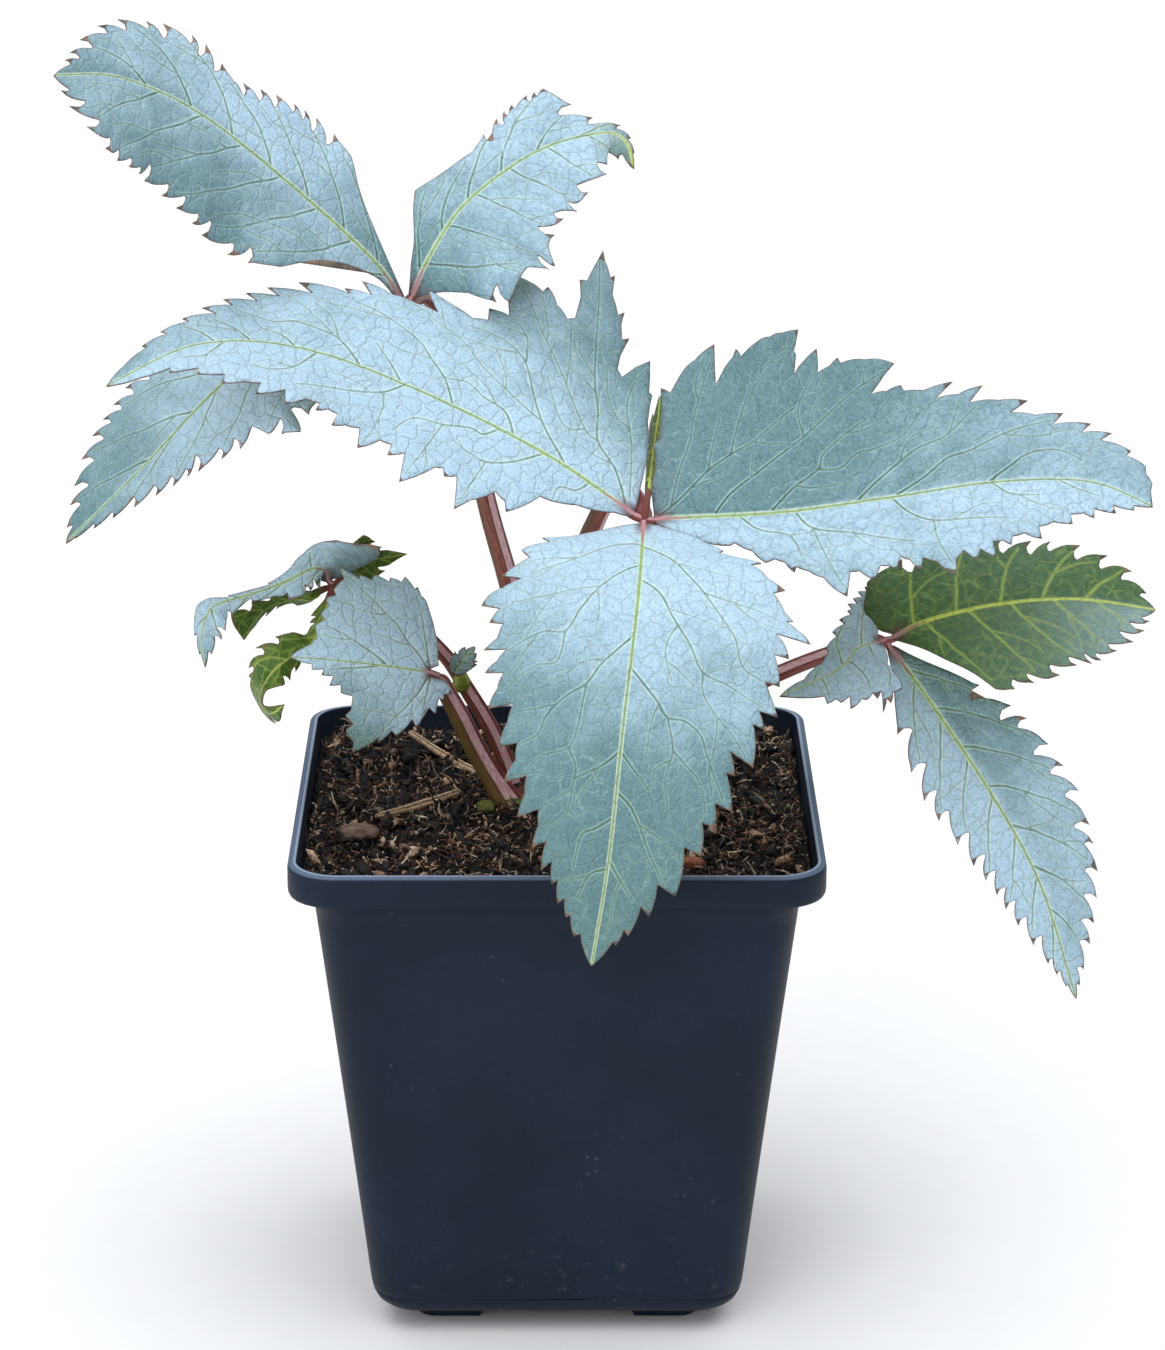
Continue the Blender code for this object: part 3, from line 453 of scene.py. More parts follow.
# %% Top leaf
LEAFLETS.update({
    "top_leaflet_left": dict(
        midrib=[(-38.1, 9.6, 253.4), (-45, 7, 264), (-63, 0, 283), (-85, -8, 303), (-103, -15, 313),
                (-118, -22, 315)],
        face=[(0.2, -0.75, 0.65), (0.1, -0.8, 0.6)], fold=(8, 8), curl=(-4, -4),
        left=[(0, [(0, 1), (10, 3), (24, 10), (34, 20)]),
              (15, [
            (34, 20), (44, 25), (58, 26), (72, 24), (86, 23), (98, 20), (105, 10), (108, 0)])],
        right=[(0, [(0, 1), (10, 3), (24, 10), (32, 16)]),
               (8, [(32, 16), (42, 18), (53, 16), (66, 12)]),
               (11, [(66, 12), (76, 16), (86, 16), (95, 13), (108, 0)])]),
    "top_leaflet_right": dict(
        midrib=[(-35.6, 10.6, 254), (-31, 12, 264), (-22, 18, 276), (-5, 25, 287), (11, 28, 291),
                (17, 27, 289), (19, 23, 283)],
        face=[(-0.2, -0.8, 0.6), (-0.2, -0.8, 0.6)], fold=(8, 8), curl=(-2, -2),
        left=[(0, [(0, 1), (6, 3), (13, 6), (22, 12)]), (0, [(22, 12), (28, 10), (36, 9)]),
              (7, [(36, 9), (46, 13), (55, 15)]), (6, [(55, 15), (62, 5), (70, 2), (79, 0)])],
        right=[(0, [(0, 1), (4, 7), (7, 14)]), (2, [(7, 14), (8, 20), (10, 25)]),
               (1, [(10, 25), (19, 25)]), (2, [(19, 25), (24, 28), (29, 31)]),
               (8, [(29, 31), (34, 24), (42, 21), (50, 20), (60, 14), (70, 8), (79, 0)])]),
    "top_leaflet_drooping": dict(
        midrib=[(-39, 9.2, 251), (-51, 4, 250), (-65, 0, 244), (-80, -4, 237), (-104, -10, 213),
                (-120, -14, 198)],
        face=[(-0.3, -0.6, 0.75), (-0.5, -0.7, 0.5)], fold=(3, 3), curl=(-2, -2),
        left=[(0, [(0, 1), (10, 8), (24, 15)]), (2, [(24, 15), (32, 21), (37, 27)]),
              (2, [(37, 27), (42, 25), (48, 21)]), (0, [(48, 21), (50, 16)]),
              (11, [(50, 16), (57, 18), (72, 12), (84, 7), (104, 0)])],
        right=[(0, [(0, 1), (10, 8), (24, 15)]),
               (14, [(24, 15), (44, 20), (60, 21), (74, 20), (86, 15), (97, 7), (104, 0)])]),
})
print("with the top leaf:", len(LEAFLETS))

# %% [markdown]
# ## The right leaf
# One leaflet reaches out to the right, one hangs down, and one reaches back to the left.

# %% Right leaf
LEAFLETS.update({
    "right_leaflet_outer": dict(
        midrib=[(83.4, -5.6, 171.2), (92, -4, 175), (110, 0, 178), (130, 4, 178), (150, 8, 174)],
        face=[(0, -0.6, 0.8), (0, -0.6, 0.8)], fold=(10, 10), curl=(-2, -2),
        left=[(0, [(0, 1), (-2.5, 4), (-3, 10), (1, 16)]),
              (11, [(1, 16), (18, 19.5), (38, 17), (54, 14), (63, 9), (69, 0)])],
        right=[(0, [(0, 1), (5, 8), (11, 17), (18, 26)]),
               (11, [(18, 26), (26, 28), (36, 25), (50, 20), (61, 12), (69, 0)])]),
    "right_leaflet_lower": dict(
        midrib=[(82.6, -6.7, 168.9), (92, -12, 157), (107, -16, 135), (120, -20, 112),
                (130, -24, 82)],
        face=[(0.2, -0.9, 0.4), (0.2, -0.95, 0.2)], fold=(5, 5), curl=(-3, -3),
        left=[(0, [(0, 1), (6, 4), (14, 9)]),
              (15, [(14, 9), (24, 14), (36, 18), (52, 19), (64, 17), (80, 11), (100, 0)])],
        right=[(0, [(0, 1), (6, 4), (12, 8)]),
               (15, [(12, 8), (20, 12), (34, 15), (48, 14), (62, 12), (76, 9), (100, 0)])]),
    "right_leaflet_folded": dict(
        midrib=[(80, -7.5, 170.7), (74, -14, 171), (68, -23, 168), (54, -33, 165)],
        face=[(-0.1, -0.7, 0.7), (-0.1, -0.7, 0.7)], fold=(5, 5), curl=(-2, -2),
        left=[(-1, [
            (0, 1), (2, 5), (7, 9), (13, 11.5), (15, 15), (16, 16), (17.2, 14.7), (18.7, 16.3),
            (18.5, 14.6), (20.5, 16.8), (18, 12.2), (19.3, 13), (19, 11), (20.5, 11.5), (21, 10.5),
            (24.5, 11.3), (22.5, 8), (25.2, 8.5), (25.5, 7), (28.3, 7.2), (27.5, 5), (37.6, 0)])],
        right=[(-1, [
            (0, 1), (-3, 4), (-13, 11), (-19, 16.5), (-15.5, 17.5), (-13, 15.7), (-10, 16.7),
            (-9.3, 15.2), (-6.5, 15.8), (-6.3, 13.8), (-3, 14.2), (-2.8, 12.3), (0.3, 13),
            (0.5, 11), (3.4, 10.7), (3.3, 9.3), (6.5, 9.2), (6.2, 7.5), (9.3, 7.6), (9.5, 6),
            (13.5, 6.3), (15.3, 5), (22, 3.6), (25, 3.2), (29, 1.6), (37.6, 0)])]),
})
print("with the right leaf:", len(LEAFLETS))

# %% [markdown]
# ## The low, small and young leaves
# Low down on the left one broad leaflet faces the front.  The small leaf's four leaflets
# arch and curl, and a young leaf is just opening by the crown.

# %% Low, small and young leaves
LEAFLETS.update({
    "low_leaflet_broad": dict(
        midrib=[(-31.4, -2, 160.8), (-40.1, -5.9, 163.5), (-48.8, -8.9, 165.6),
                (-57.4, -10.9, 167.2), (-66.1, -12, 168.2)],
        face=[(0, -0.85, 0.5), (0, -0.85, 0.5)], fold=(0, 0), curl=(-2, -2),
        left=[(-1, [
            (0, 1), (-4, 1.5), (-5.5, 3), (-6, 4.5), (-4, 5), (-4, 6.8), (-2.5, 6.2), (-2, 10.3),
            (0, 9), (3, 14.5), (4.5, 12.5), (8.5, 17.2), (10, 16), (13.5, 19.5), (13.5, 18.2),
            (20, 22.5), (19.8, 20), (22, 17.2), (20.3, 15.5), (22.3, 13.5), (21, 12), (20.8, 8.5),
            (23.8, 8), (24, 6), (26.8, 6.5), (26, 4), (29, 4), (28.5, 2.5), (31.5, 2.8),
            (31.5, 1.5), (37.2, 0)])],
        right=[(-1, [
            (0, 1), (-2, 2), (-1.5, 8), (0, 13), (2, 18), (3.5, 19.3), (4.5, 21.5), (5.3, 20.8),
            (8, 23.6), (9, 22), (12, 22.8), (12.3, 21.7), (16.5, 23.2), (17, 21.5), (20.8, 22.6),
            (20.5, 21.5), (26, 24), (24.5, 21), (27, 18), (26.5, 16.5), (29, 15.5), (28, 13.5),
            (30, 11.5), (28.8, 10), (31.3, 8.3), (30.5, 5.5), (32, 3.5), (37.2, 0)])]),
    "small_leaflet_arched": dict(
        midrib=[(-57.6, 18.4, 178.4), (-58.6, 17.3, 181.5), (-61.6, 14.8, 182.7),
                (-66.4, 11, 181.3), (-71.8, 8, 179.8), (-77.2, 5.5, 178.7), (-83, 3.2, 177.6),
                (-86.2, 1.6, 176.3), (-88, 0.5, 172.2), (-88.5, -0.5, 167.3), (-87.8, -1, 161.8)],
        face=[(0, -0.8, 0.6), (-0.5, -0.8, 0.35)], fold=(-5, -5), curl=(-5, -5),
        left=[(0, [(0, 1), (2, 3), (5.5, 5.5)]), (0, [(5.5, 5.5), (5.8, 2.6)]),
              (3, [(5.8, 2.6), (10, 4.5), (14, 5.2)]), (2, [(14, 5.2), (18, 4.5), (20.5, 2.5)]),
              (3, [(20.5, 2.5), (28, 2.2), (35.5, 5)]), (4, [(35.5, 5), (44, 5.5), (53, 0)])],
        right=[(0, [(0, 1), (-0.5, 4.5), (0, 8)]), (1, [(0, 8), (0, 12), (2, 15.5)]),
               (0, [(2, 15.5), (3.5, 9), (7.5, 5)]), (1, [(7.5, 5), (12.5, 3)]),
               (3, [(12.5, 3), (19, 1.6), (32, 1.4), (38.5, 4)]),
               (3, [(38.5, 4), (43, 2.8), (53, 0)])]),
    "small_leaflet_upper": dict(
        midrib=[(-54.8, 21.3, 178.7), (-51.2, 25.5, 181), (-46.2, 27.5, 181.7), (-38.1, 28, 182.7)],
        face=[(0, 0.9, 0.3), (0, 0.9, 0.3)], fold=(0, 0), curl=(0, 0),
        left=[(0, [(0, 1), (3, 3), (6, 5), (9, 7)]), (2, [(9, 7), (12, 5), (15, 2.2)]),
              (0, [(15, 2.2), (17, 1), (19, 0)])],
        right=[(0, [(0, 1), (4, 4.3), (8, 7.8)]), (3, [(8, 7.8), (10, 6.4), (13, 3), (15, 1.6)]),
               (0, [(15, 1.6), (17, 0.8), (19, 0)])]),
    "small_leaflet_curled": dict(
        midrib=[(-56.8, 17.6, 175.8), (-57.7, 13, 173), (-59.4, 9, 168.9), (-61.9, 6.5, 165.8),
                (-65.9, 4.5, 163.8), (-69.8, 2.5, 161), (-72.3, 0.5, 157.8), (-73.7, -1.5, 154.5),
                (-73.1, -3.5, 152), (-70.8, -6, 151.7), (-67.6, -8.5, 154.7)],
        face=[(0.15, 0.95, 0.25), (0.75, 0.3, 0.6)], fold=(0, 0), curl=(0, 0),
        left=[(0, [(0, 1), (3, 1.6), (6, 2.6)]), (3, [(6, 2.6), (9, 3.4), (13, 2.4)]),
              (0, [(13, 2.4), (16, 2.6), (19.5, 6)]),
              (5, [(19.5, 6), (24.5, 7), (29.5, 7.2), (34, 8.5)]),
              (2, [(34, 8.5), (38, 6.5), (42, 3)]), (0, [(42, 3), (44, 1.4), (47, 0)])],
        right=[(0, [(0, 1), (6, 2), (14, 3)]), (4, [(14, 3), (21, 4.2), (27.5, 4.6), (31, 6)]),
               (1, [(31, 6), (34, 3)]), (0, [(34, 3), (40, 2.6), (47, 0)])]),
    "small_leaflet_under": dict(
        midrib=[(-58.4, 19.7, 176.6), (-62.1, 18, 174.3), (-65.9, 17, 174.6), (-71.1, 15, 173.9),
                (-75.2, 12, 171.9), (-77.3, 9, 169.2), (-78.6, 7, 166.4)],
        face=[(0.1, 0.55, 0.8), (-0.3, 0.8, 0.4)], fold=(0, 0), curl=(0, 0),
        left=[(0, [(0, 1), (4, 4), (8, 4)]), (3, [(8, 4), (15, 3), (22, 6.5), (25, 8)]),
              (0, [(25, 8), (26.5, 4), (28, 0)])],
        right=[(0, [(0, 1), (3, 2), (7, 5.5)]), (3, [(7, 5.5), (10, 3), (16, 4), (22, 2.5)]),
               (0, [(22, 2.5), (25, 1), (28, 0)])]),
    "young_leaf_blade": dict(
        midrib=[(-26, 19.8, 152.9), (-24.9, 19, 155.4), (-23, 18.7, 158.3), (-20.8, 18.6, 161)],
        face=[(0, -0.95, 0.3), (0, -0.95, 0.3)], fold=(0, 0), curl=(0, 0),
        left=[(0, [(0, 1), (1, 2), (3, 2.8)]), (3, [(3, 2.8), (6, 2.8), (9, 0)])],
        right=[(0, [(0, 1), (2, 2.2), (4, 3)]), (4, [(4, 3), (6.5, 3.2), (9, 0)])]),
})
print("all leaflets:", len(LEAFLETS))

# %% [markdown]
# ## The veins that are drawn
# A strong vein always runs to a lobe's tip.  So the side veins of the three large
# leaflets are paths over the flat leaflet, and one that starts on another vein is a fork.

# %% Drawn veins
VEINS = {
    "main_leaflet_left": dict(
        left=[[(13, 0), (15, 4.5), (19, 6.5), (19, 11)],
              [(26, 0), (32, 7), (38, 11), (43, 11), (48, 10)], [(38, 11), (39, 19), (40, 26)],
              [(38.5, 0), (41.5, 4), (45, 4), (51.5, 7), (59, 9), (63, 15)],
              [(51.5, 7), (52.5, 12), (54, 19), (56, 26)],
              [(63.5, 0), (68, 5), (75.5, 8.5), (86, 11.5), (92, 13)],
              [(68, 5), (67, 10), (68, 18), (70, 21)], [(86, 0), (92, 7), (99, 9.5), (104.5, 8.5)],
              [(109, 0), (115.5, 4), (121, 3)]],
        right=[[(2, 0), (9.5, 7), (16.5, 11), (20, 19), (24, 27.5), (29.5, 45), (35, 61)],
               [(24, 27.5), (29, 31), (31.5, 36)],
               [(16.5, 11), (20.5, 12), (29, 20.5), (34, 25.5), (40, 31.5), (46, 40.5), (50.5, 45)],
               [(29, 20.5), (31, 28), (34, 36.5)], [(20.5, 12), (24, 9.5), (28, 12), (34, 20)],
               [(20, 0), (28.5, 6), (34, 12), (39.5, 20), (44.5, 23.5), (50, 25), (55, 25)],
               [(39.5, 20), (42, 27.5), (47, 32)],
               [(31, 7.5), (39, 10), (48, 14), (54, 19), (62, 22.5), (69, 25)],
               [(34.5, 0), (39, 5), (45, 6), (50, 8), (55, 6.5)],
               [(51, 0), (55, 6), (60, 10.5), (64, 14), (73, 17), (80, 18)],
               [(3, 3), (11, 18), (15.5, 20), (19.5, 24.5), (23, 33)],
               [(11, 18), (15, 25), (16, 34), (15, 40)], [(64.5, 0), (68.5, 4), (73, 8)],
               [(75, 0), (81.5, 5.5), (86.5, 7), (92, 8), (97, 7), (104.5, 10)],
               [(81.5, 5.5), (84.5, 12), (88, 15)], [(91.5, 0), (95, 3), (100, 4.5)],
               [(102.5, 0), (106, 4), (110, 7)], [(111.5, 0), (114, 3.5), (117, 6)]]),
    "main_leaflet_right": dict(
        left=[[(1, 0.5), (6, 4.5), (13, 12), (18.5, 16), (25, 19), (31, 23), (37, 27)],
              [(13, 12), (14, 18), (16, 27)],
              [(18.5, 16), (21, 25), (25, 34), (32, 39.5), (39, 45)],
              [(4, 2.5), (6, 11.5), (8.5, 19.5), (9.5, 26.5), (13.5, 43)],
              [(14.5, 0), (19, 6), (27.5, 12), (38.5, 19), (46, 24.5), (53, 28.5), (62, 33)],
              [(28, 0), (34.5, 6), (41, 10), (43, 14), (49, 18), (55, 21)],
              [(41, 10), (46.5, 9.5), (51, 12.5), (55.5, 13), (63, 15.5), (70, 22), (75, 24)],
              [(49, 0), (54, 4), (61.5, 9), (67, 12), (74, 14), (81, 20)],
              [(58, 0), (66.5, 4), (73, 8), (78.5, 9), (87.5, 13), (97, 16)],
              [(81, 0), (87, 4), (91.5, 7), (98, 8), (103.5, 5.5)],
              [(38.5, 19), (38, 27), (44, 37)]],
        right=[[(20.5, 0), (25.5, 5), (32.5, 7.5), (35, 14)],
               [(34, 0), (38, 6), (47.5, 9.5), (53.5, 12), (61, 14)], [(38, 6), (40, 14), (43, 24)],
               [(57.5, 0), (61, 5.5), (66, 9), (74, 10.5), (85, 11.5)],
               [(66, 9), (66, 15), (68, 23)], [(82, 0), (86, 4), (93, 5)],
               [(98, 0), (103, 3), (109, 4)]]),
    "main_leaflet_front": dict(
        left=[[(11, 0), (17, 6.5), (24, 11), (30, 15.5), (37, 20), (43, 23.5), (49.5, 26),
               (52, 31)], [(30, 15.5), (31.5, 21.5), (33, 28), (35, 33)],
              [(26, 0), (31, 5), (37, 8), (40.5, 10), (46, 13.5), (52, 17), (54.5, 23.5), (59, 32)],
              [(52, 17), (57, 17.5), (62, 20.5), (67, 25), (72, 29)],
              [(40.5, 10), (45, 8), (49.5, 8), (55, 10)],
              [(52.5, 0), (57, 4), (61, 7.5), (64.5, 10), (65, 14), (68, 18), (72.5, 20), (83, 25)],
              [(64.5, 10), (72, 12), (79, 11), (85, 12), (88, 12.5)],
              [(72, 12), (75, 15), (79, 19), (86, 21)], [(73.5, 0), (77, 3), (82, 7.5)],
              [(83, 0), (86, 3.5), (91, 6.5), (96, 9), (103, 13.5)],
              [(99, 0), (103.5, 3.5), (107.5, 7)]],
        right=[[(10, 0), (12, 6.5), (19, 15), (24.5, 26)],
               [(20, 0), (24, 4.5), (30, 9), (38, 13), (44.5, 16), (45, 21), (48, 26), (51, 29)],
               [(30, 9), (32, 15), (35, 21), (38, 28)],
               [(44.5, 16), (53, 17), (54.5, 21), (57, 24), (62, 28)],
               [(44, 0), (49, 4), (53, 7), (58, 9.5), (62, 14), (67, 18), (71.5, 19.5), (74, 23)],
               [(58, 9.5), (63, 10), (69, 10.5), (74, 12), (76.5, 18), (80, 21)],
               [(74, 12), (78, 10), (81, 10), (89, 11), (92.5, 14)],
               [(73.5, 0), (77, 3.5), (79.5, 7.5), (81, 10)], [(89, 0), (92, 4), (94, 7), (102, 8)],
               [(101, 0), (103, 4), (109, 6)]]),
}
print("leaflets with drawn veins:", len(VEINS))

# %% [markdown]
# ## Simpler veins
# Two leaflets need only the start and the end of each side vein, as start on the midrib,
# end x and end y.  All the other leaflets get evenly spread veins later.

# %% Simpler veins
RIBS = {
    "top_leaflet_drooping": dict(
        left=[(4, 23, 13), (20, 47, 20), (34, 60, 15), (50, 74, 10), (66, 88, 5)],
        right=[(6, 25, 14), (16, 42, 18), (30, 56, 19), (44, 70, 18), (58, 84, 14), (74, 95, 7)]),
    "low_leaflet_broad": dict(
        left=[(0.2, 2, 10), (0.3, 18.5, 21.5), (14, 27, 2.5)],
        right=[(0.2, 5, 19), (0.3, 24.5, 22), (12, 27, 8)]),
}
print("leaflets with listed veins:", len(RIBS))

# %% [markdown]
# ## Saw teeth
# A tooth has a long, gently swollen back edge and a short, cut-back front edge that ends
# in a sharp point.  The teeth are part of the outline and not a texture, so that they cast
# shadows.  They shrink a little towards the leaflet's tip, and no two are quite alike.

# %% Margins
TOOTH_DEPTH = 0.56         # depth of a tooth, as a share of its pitch
TOOTH_DEEPEST = 3.9        # millimetres
PITCH_VARIES = (0.62, 1.38)
PITCH_BASE_TO_TIP = (1.2, 0.8)
CORNER_SWELL = 0.2         # how much a drawn tooth's back edge swells


def drawn_corners(corners, spacing):
    """A margin given corner by corner."""
    out = []
    for a, b in zip(np.array(corners[:-1], float), np.array(corners[1:], float)):
        go = b - a
        steps = max(1, int(np.hypot(*go) / spacing + 0.5))
        back_edge = go[0] > 0.6 * abs(go[1])
        swell = CORNER_SWELL * np.array([-go[1], go[0]]) * back_edge
        out += [a + go * f + swell * f * (1 - f) for f in np.arange(steps) / steps]
    return out


def point_at(curve, at, way):
    """The curve's points at distances along it."""
    return np.stack([np.interp(way, at, curve[:, k]) for k in (0, 1)], -1)


def toothed(curve, teeth, rng, spacing):
    """Forward-pointing teeth along a curve."""
    at = travelled(curve)
    pitch = np.array([rng.uniform(*PITCH_VARIES) for _ in range(teeth)])
    pitch = pitch * np.linspace(*PITCH_BASE_TO_TIP, teeth)
    ends = np.concatenate([[0], np.cumsum(pitch)]) / pitch.sum() * at[-1]
    out = []
    start, notch = 0.0, 0.0
    for a, b in zip(ends[:-1], ends[1:]):
        f = np.linspace(0, 1, max(3, int((b - start) / spacing)) + 1)[:-1, None]
        way = start + f[:, 0] * (b - start)
        edge = point_at(curve, at, way)
        ahead = point_at(curve, at, way + 0.4)
        inward = unit(ahead - edge + 1e-9)[:, ::-1] * [1, -1]
        swell = inward * 0.05 * (b - start) * f * (1 - f)
        out += list(edge + inward * notch * (1 - f) ** 1.8 - swell)
        if b > ends[-2]:
            break
        here = point_at(curve, at, b)
        notch = min(TOOTH_DEPTH * (b - a), TOOTH_DEEPEST, 0.4 * here[1]) * rng.uniform(0.85, 1.15)
        step = unit(here - point_at(curve, at, b - 0.5))
        inward = np.array([step[1], -step[0]])
        out.append(here + 0.16 * notch * step - 0.12 * notch * inward)
        out.append(here + inward * notch * 0.42 - step * 0.16 * notch)
        out.append(here + inward * notch * 0.85 - step * 0.10 * notch)
        start = b + 0.08 * notch
    return out


def margin(runs, rng, spacing):
    """One side's margin, from base to tip."""
    out = []
    for teeth, tips in runs:
        if teeth < 0:
            out += drawn_corners(tips, spacing)
        elif teeth == 0:
            out += list(evenly(smooth_path(tips, 12), spacing)[:-1])
        else:
            out += toothed(smooth_path(tips, 12), teeth, rng, spacing)
    out.append(np.array(runs[-1][1][-1], float))
    return np.array(out)


print("teeth that grow by themselves:",
      sum(max(0, teeth) for spec in LEAFLETS.values() for teeth, _ in spec["left"] + spec["right"]))

# %% [markdown]
# ## Side veins
# Side veins leave the midrib steeply and bend forward.  Painted veins would look flat, so
# they become edges of the mesh, and the relief and the colour both follow them exactly.

# %% Side veins
RIB_STARTS = (0.03, 0.80)  # first start and spread, as shares of the midrib
RIB_ENDS = (0.26, 0.68)    # first end and spread, as shares of the margin
FROM_MIDRIB, FROM_VEIN = (1.0, 0.45), (0.65, 0.3)   # thickness at the start and the end


def inside_loop(points, loop):
    """Which of the flat points lie inside the closed outline."""
    a = loop[None]
    b = np.roll(loop, -1, axis=0)[None]
    p = points[:, None]
    across = (a[..., 1] > p[..., 1]) != (b[..., 1] > p[..., 1])
    rise = b[..., 1] - a[..., 1]
    rise = np.where(np.abs(rise) < 1e-12, 1e-12, rise)
    at = a[..., 0] + (p[..., 1] - a[..., 1]) / rise * (b[..., 0] - a[..., 0])
    return (across & (p[..., 0] < at)).sum(1) % 2 == 1


def waver(count, amount, rng):
    """A soft random wobble that is zero at both ends."""
    t = np.linspace(0, 1, count)
    total = np.zeros(count)
    for turns in (1, 2, 3, 5, 8):
        total += rng.uniform(-1, 1) / turns ** 0.6 * np.sin(math.pi * turns * t)
    return amount * total


def side_vein(start, x, y, rng, spacing):
    """One side vein of the left half, from the midrib to near the margin."""
    a = np.array([start, 0.0])
    b = np.array([x, y], float)
    reach = b - a
    bend = a + reach * np.array([0.40, 0.58])
    t = np.linspace(0, 1, 40)[:, None]
    line = (1 - t) ** 2 * a + 2 * t * (1 - t) * bend + t * t * b
    sideways = unit(np.array([-reach[1], reach[0]]))
    line = line + waver(40, 0.014 * np.linalg.norm(reach), rng)[:, None] * sideways
    line[:, 1] = np.maximum(line[:, 1], 0)
    return evenly(line, spacing)


def automatic_ribs(runs, length, count, offset):
    """Evenly spread side veins for a leaflet without lobes."""
    edge = np.vstack([smooth_path(tips, 12) for _, tips in runs])
    at = travelled(edge)
    ribs = []
    for i in range(count):
        f = (i + offset) / count
        x, y = point_at(edge, at, (RIB_ENDS[0] + RIB_ENDS[1] * f) * at[-1])
        ribs.append((length * (RIB_STARTS[0] + RIB_STARTS[1] * f), x - 0.6, y * 0.9 - 0.3))
    return ribs


def side_veins(name, spec, loop, length, scale, rng, spacing):
    """Each side vein as (points, thickness at the start, at the end, side of the midrib)."""
    count = int(np.clip(round(length / 13), 3, 7))
    ribs = RIBS.get(name) or dict(left=automatic_ribs(spec["left"], length / scale, count, 0.35),
                                  right=automatic_ribs(spec["right"], length / scale, count, 0.6))
    drawn = VEINS.get(name)
    lines = []
    for sign, side in ((1, "left"), (-1, "right")):
        if drawn:
            paths = [evenly(smooth_path(path, 10), spacing) * [scale, 1] for path in drawn[side]]
        else:
            paths = [side_vein(start * scale, x * scale, y, rng, spacing)
                     for start, x, y in ribs[side] if y > 0.8]
        for path in paths:
            line = path * np.array([1, sign])
            line = line[inside_loop(line, loop) | (np.arange(len(line)) == 0)]
            thickness = FROM_MIDRIB if path[0][1] < 1.0 else FROM_VEIN
            lines.append((line, *thickness, sign))
    return lines


print("a side vein of 20 mm has", len(side_vein(0, 16, 12, random.Random(0), 1.0)), "points")

# %% [markdown]
# ## Branches
# Each side vein carries thinner branches.  A branch wanders off and stops where it meets
# another vein or comes near the margin, and it is left out where veins already crowd.

# %% Branches
LONGEST_BRANCH = 15        # millimetres
BRANCH_THICKNESS = (0.5, 0.2)
CROWDED = 1.7              # millimetres to the next vein


def near(point, others):
    return np.min(np.hypot(others[:, 0] - point[0], others[:, 1] - point[1]))


def branch(start, heading, turn, loop, taken, rng, spacing):
    """A thin vein that wanders off until it meets another vein or the margin."""
    line = [start]
    here = start
    while len(line) * spacing < LONGEST_BRANCH:
        heading += turn * spacing + rng.uniform(-0.16, 0.16)
        here = here + spacing * np.array([math.cos(heading), math.sin(heading)])
        if near(here, loop) < 0.9 or not inside_loop(here[None], loop)[0]:
            break
        line.append(here)
        if len(line) > 3 and near(here, taken) < spacing * 0.9:
            line[-1] = taken[np.argmin(np.hypot(*(taken - here).T))]
            break
    return np.array(line)


def vein_network(name, spec, loop, length, scale, rng, spacing):
    """The midrib, and the other veins as (points, thickness at the start, at the end)."""
    steps = int(length / spacing)
    midrib = np.stack([np.linspace(0.4, length - 0.6, steps), np.zeros(steps)], 1)
    lines = side_veins(name, spec, loop, length, scale, rng, spacing)
    taken = np.vstack([midrib] + [line[1:] for line, _, _, _ in lines])
    between = 16 if name in VEINS else 9
    for line, _, _, sign in list(lines):
        forks = max(1, int(travelled(line)[-1] / between))
        for k in range(forks):
            f = (k + 0.75 + rng.uniform(-0.2, 0.2)) / (forks + 0.35)
            i = int(np.clip(f * (len(line) - 1), 1, len(line) - 2))
            direction = line[i + 1] - line[i - 1]
            heading = math.atan2(direction[1], direction[0])
            outer = sign if (k + len(lines)) % 2 else -sign
            made = branch(line[i], heading + outer * rng.uniform(0.55, 0.9), -outer * 0.03,
                          loop, taken, rng, spacing)
            crowded = np.mean([near(q, taken) < CROWDED for q in made[3:]]) if len(made) > 4 else 1
            if crowded < 0.35:
                lines.append((made, *BRANCH_THICKNESS, sign))
                taken = np.vstack([taken, made[1:]])
    return midrib, [line[:3] for line in lines]


print("branches are at most", LONGEST_BRANCH, "mm long")

# %% [markdown]
# ## From outline to triangles
# The flat outline, the veins and a loose grid of points are joined into triangles.  Where
# an edge would bridge the gap between two veins, a point is added in its middle, so that
# the skin between veins is free to swell.

# %% Triangles
def tree_of(points):
    tree = kdtree.KDTree(len(points))
    for i, p in enumerate(points):
        tree.insert((p[0], p[1], 0), i)
    tree.balance()
    return tree


def distances(tree, points):
    """For each flat point the distance to the tree's nearest point, and which one it is."""
    found = [tree.find((x, y, 0)) for x, y in points]
    return np.array([f[2] for f in found]), np.array([f[1] for f in found])


def joined(points, edges):
    """Triangles over the flat points that keep the given edges."""
    corners = [Vector(p) for p in points]
    flat, _, faces, _, _, _ = geometry.delaunay_2d_cdt(corners, edges, [], 1, 1e-4)
    return np.array([tuple(p) for p in flat]), faces


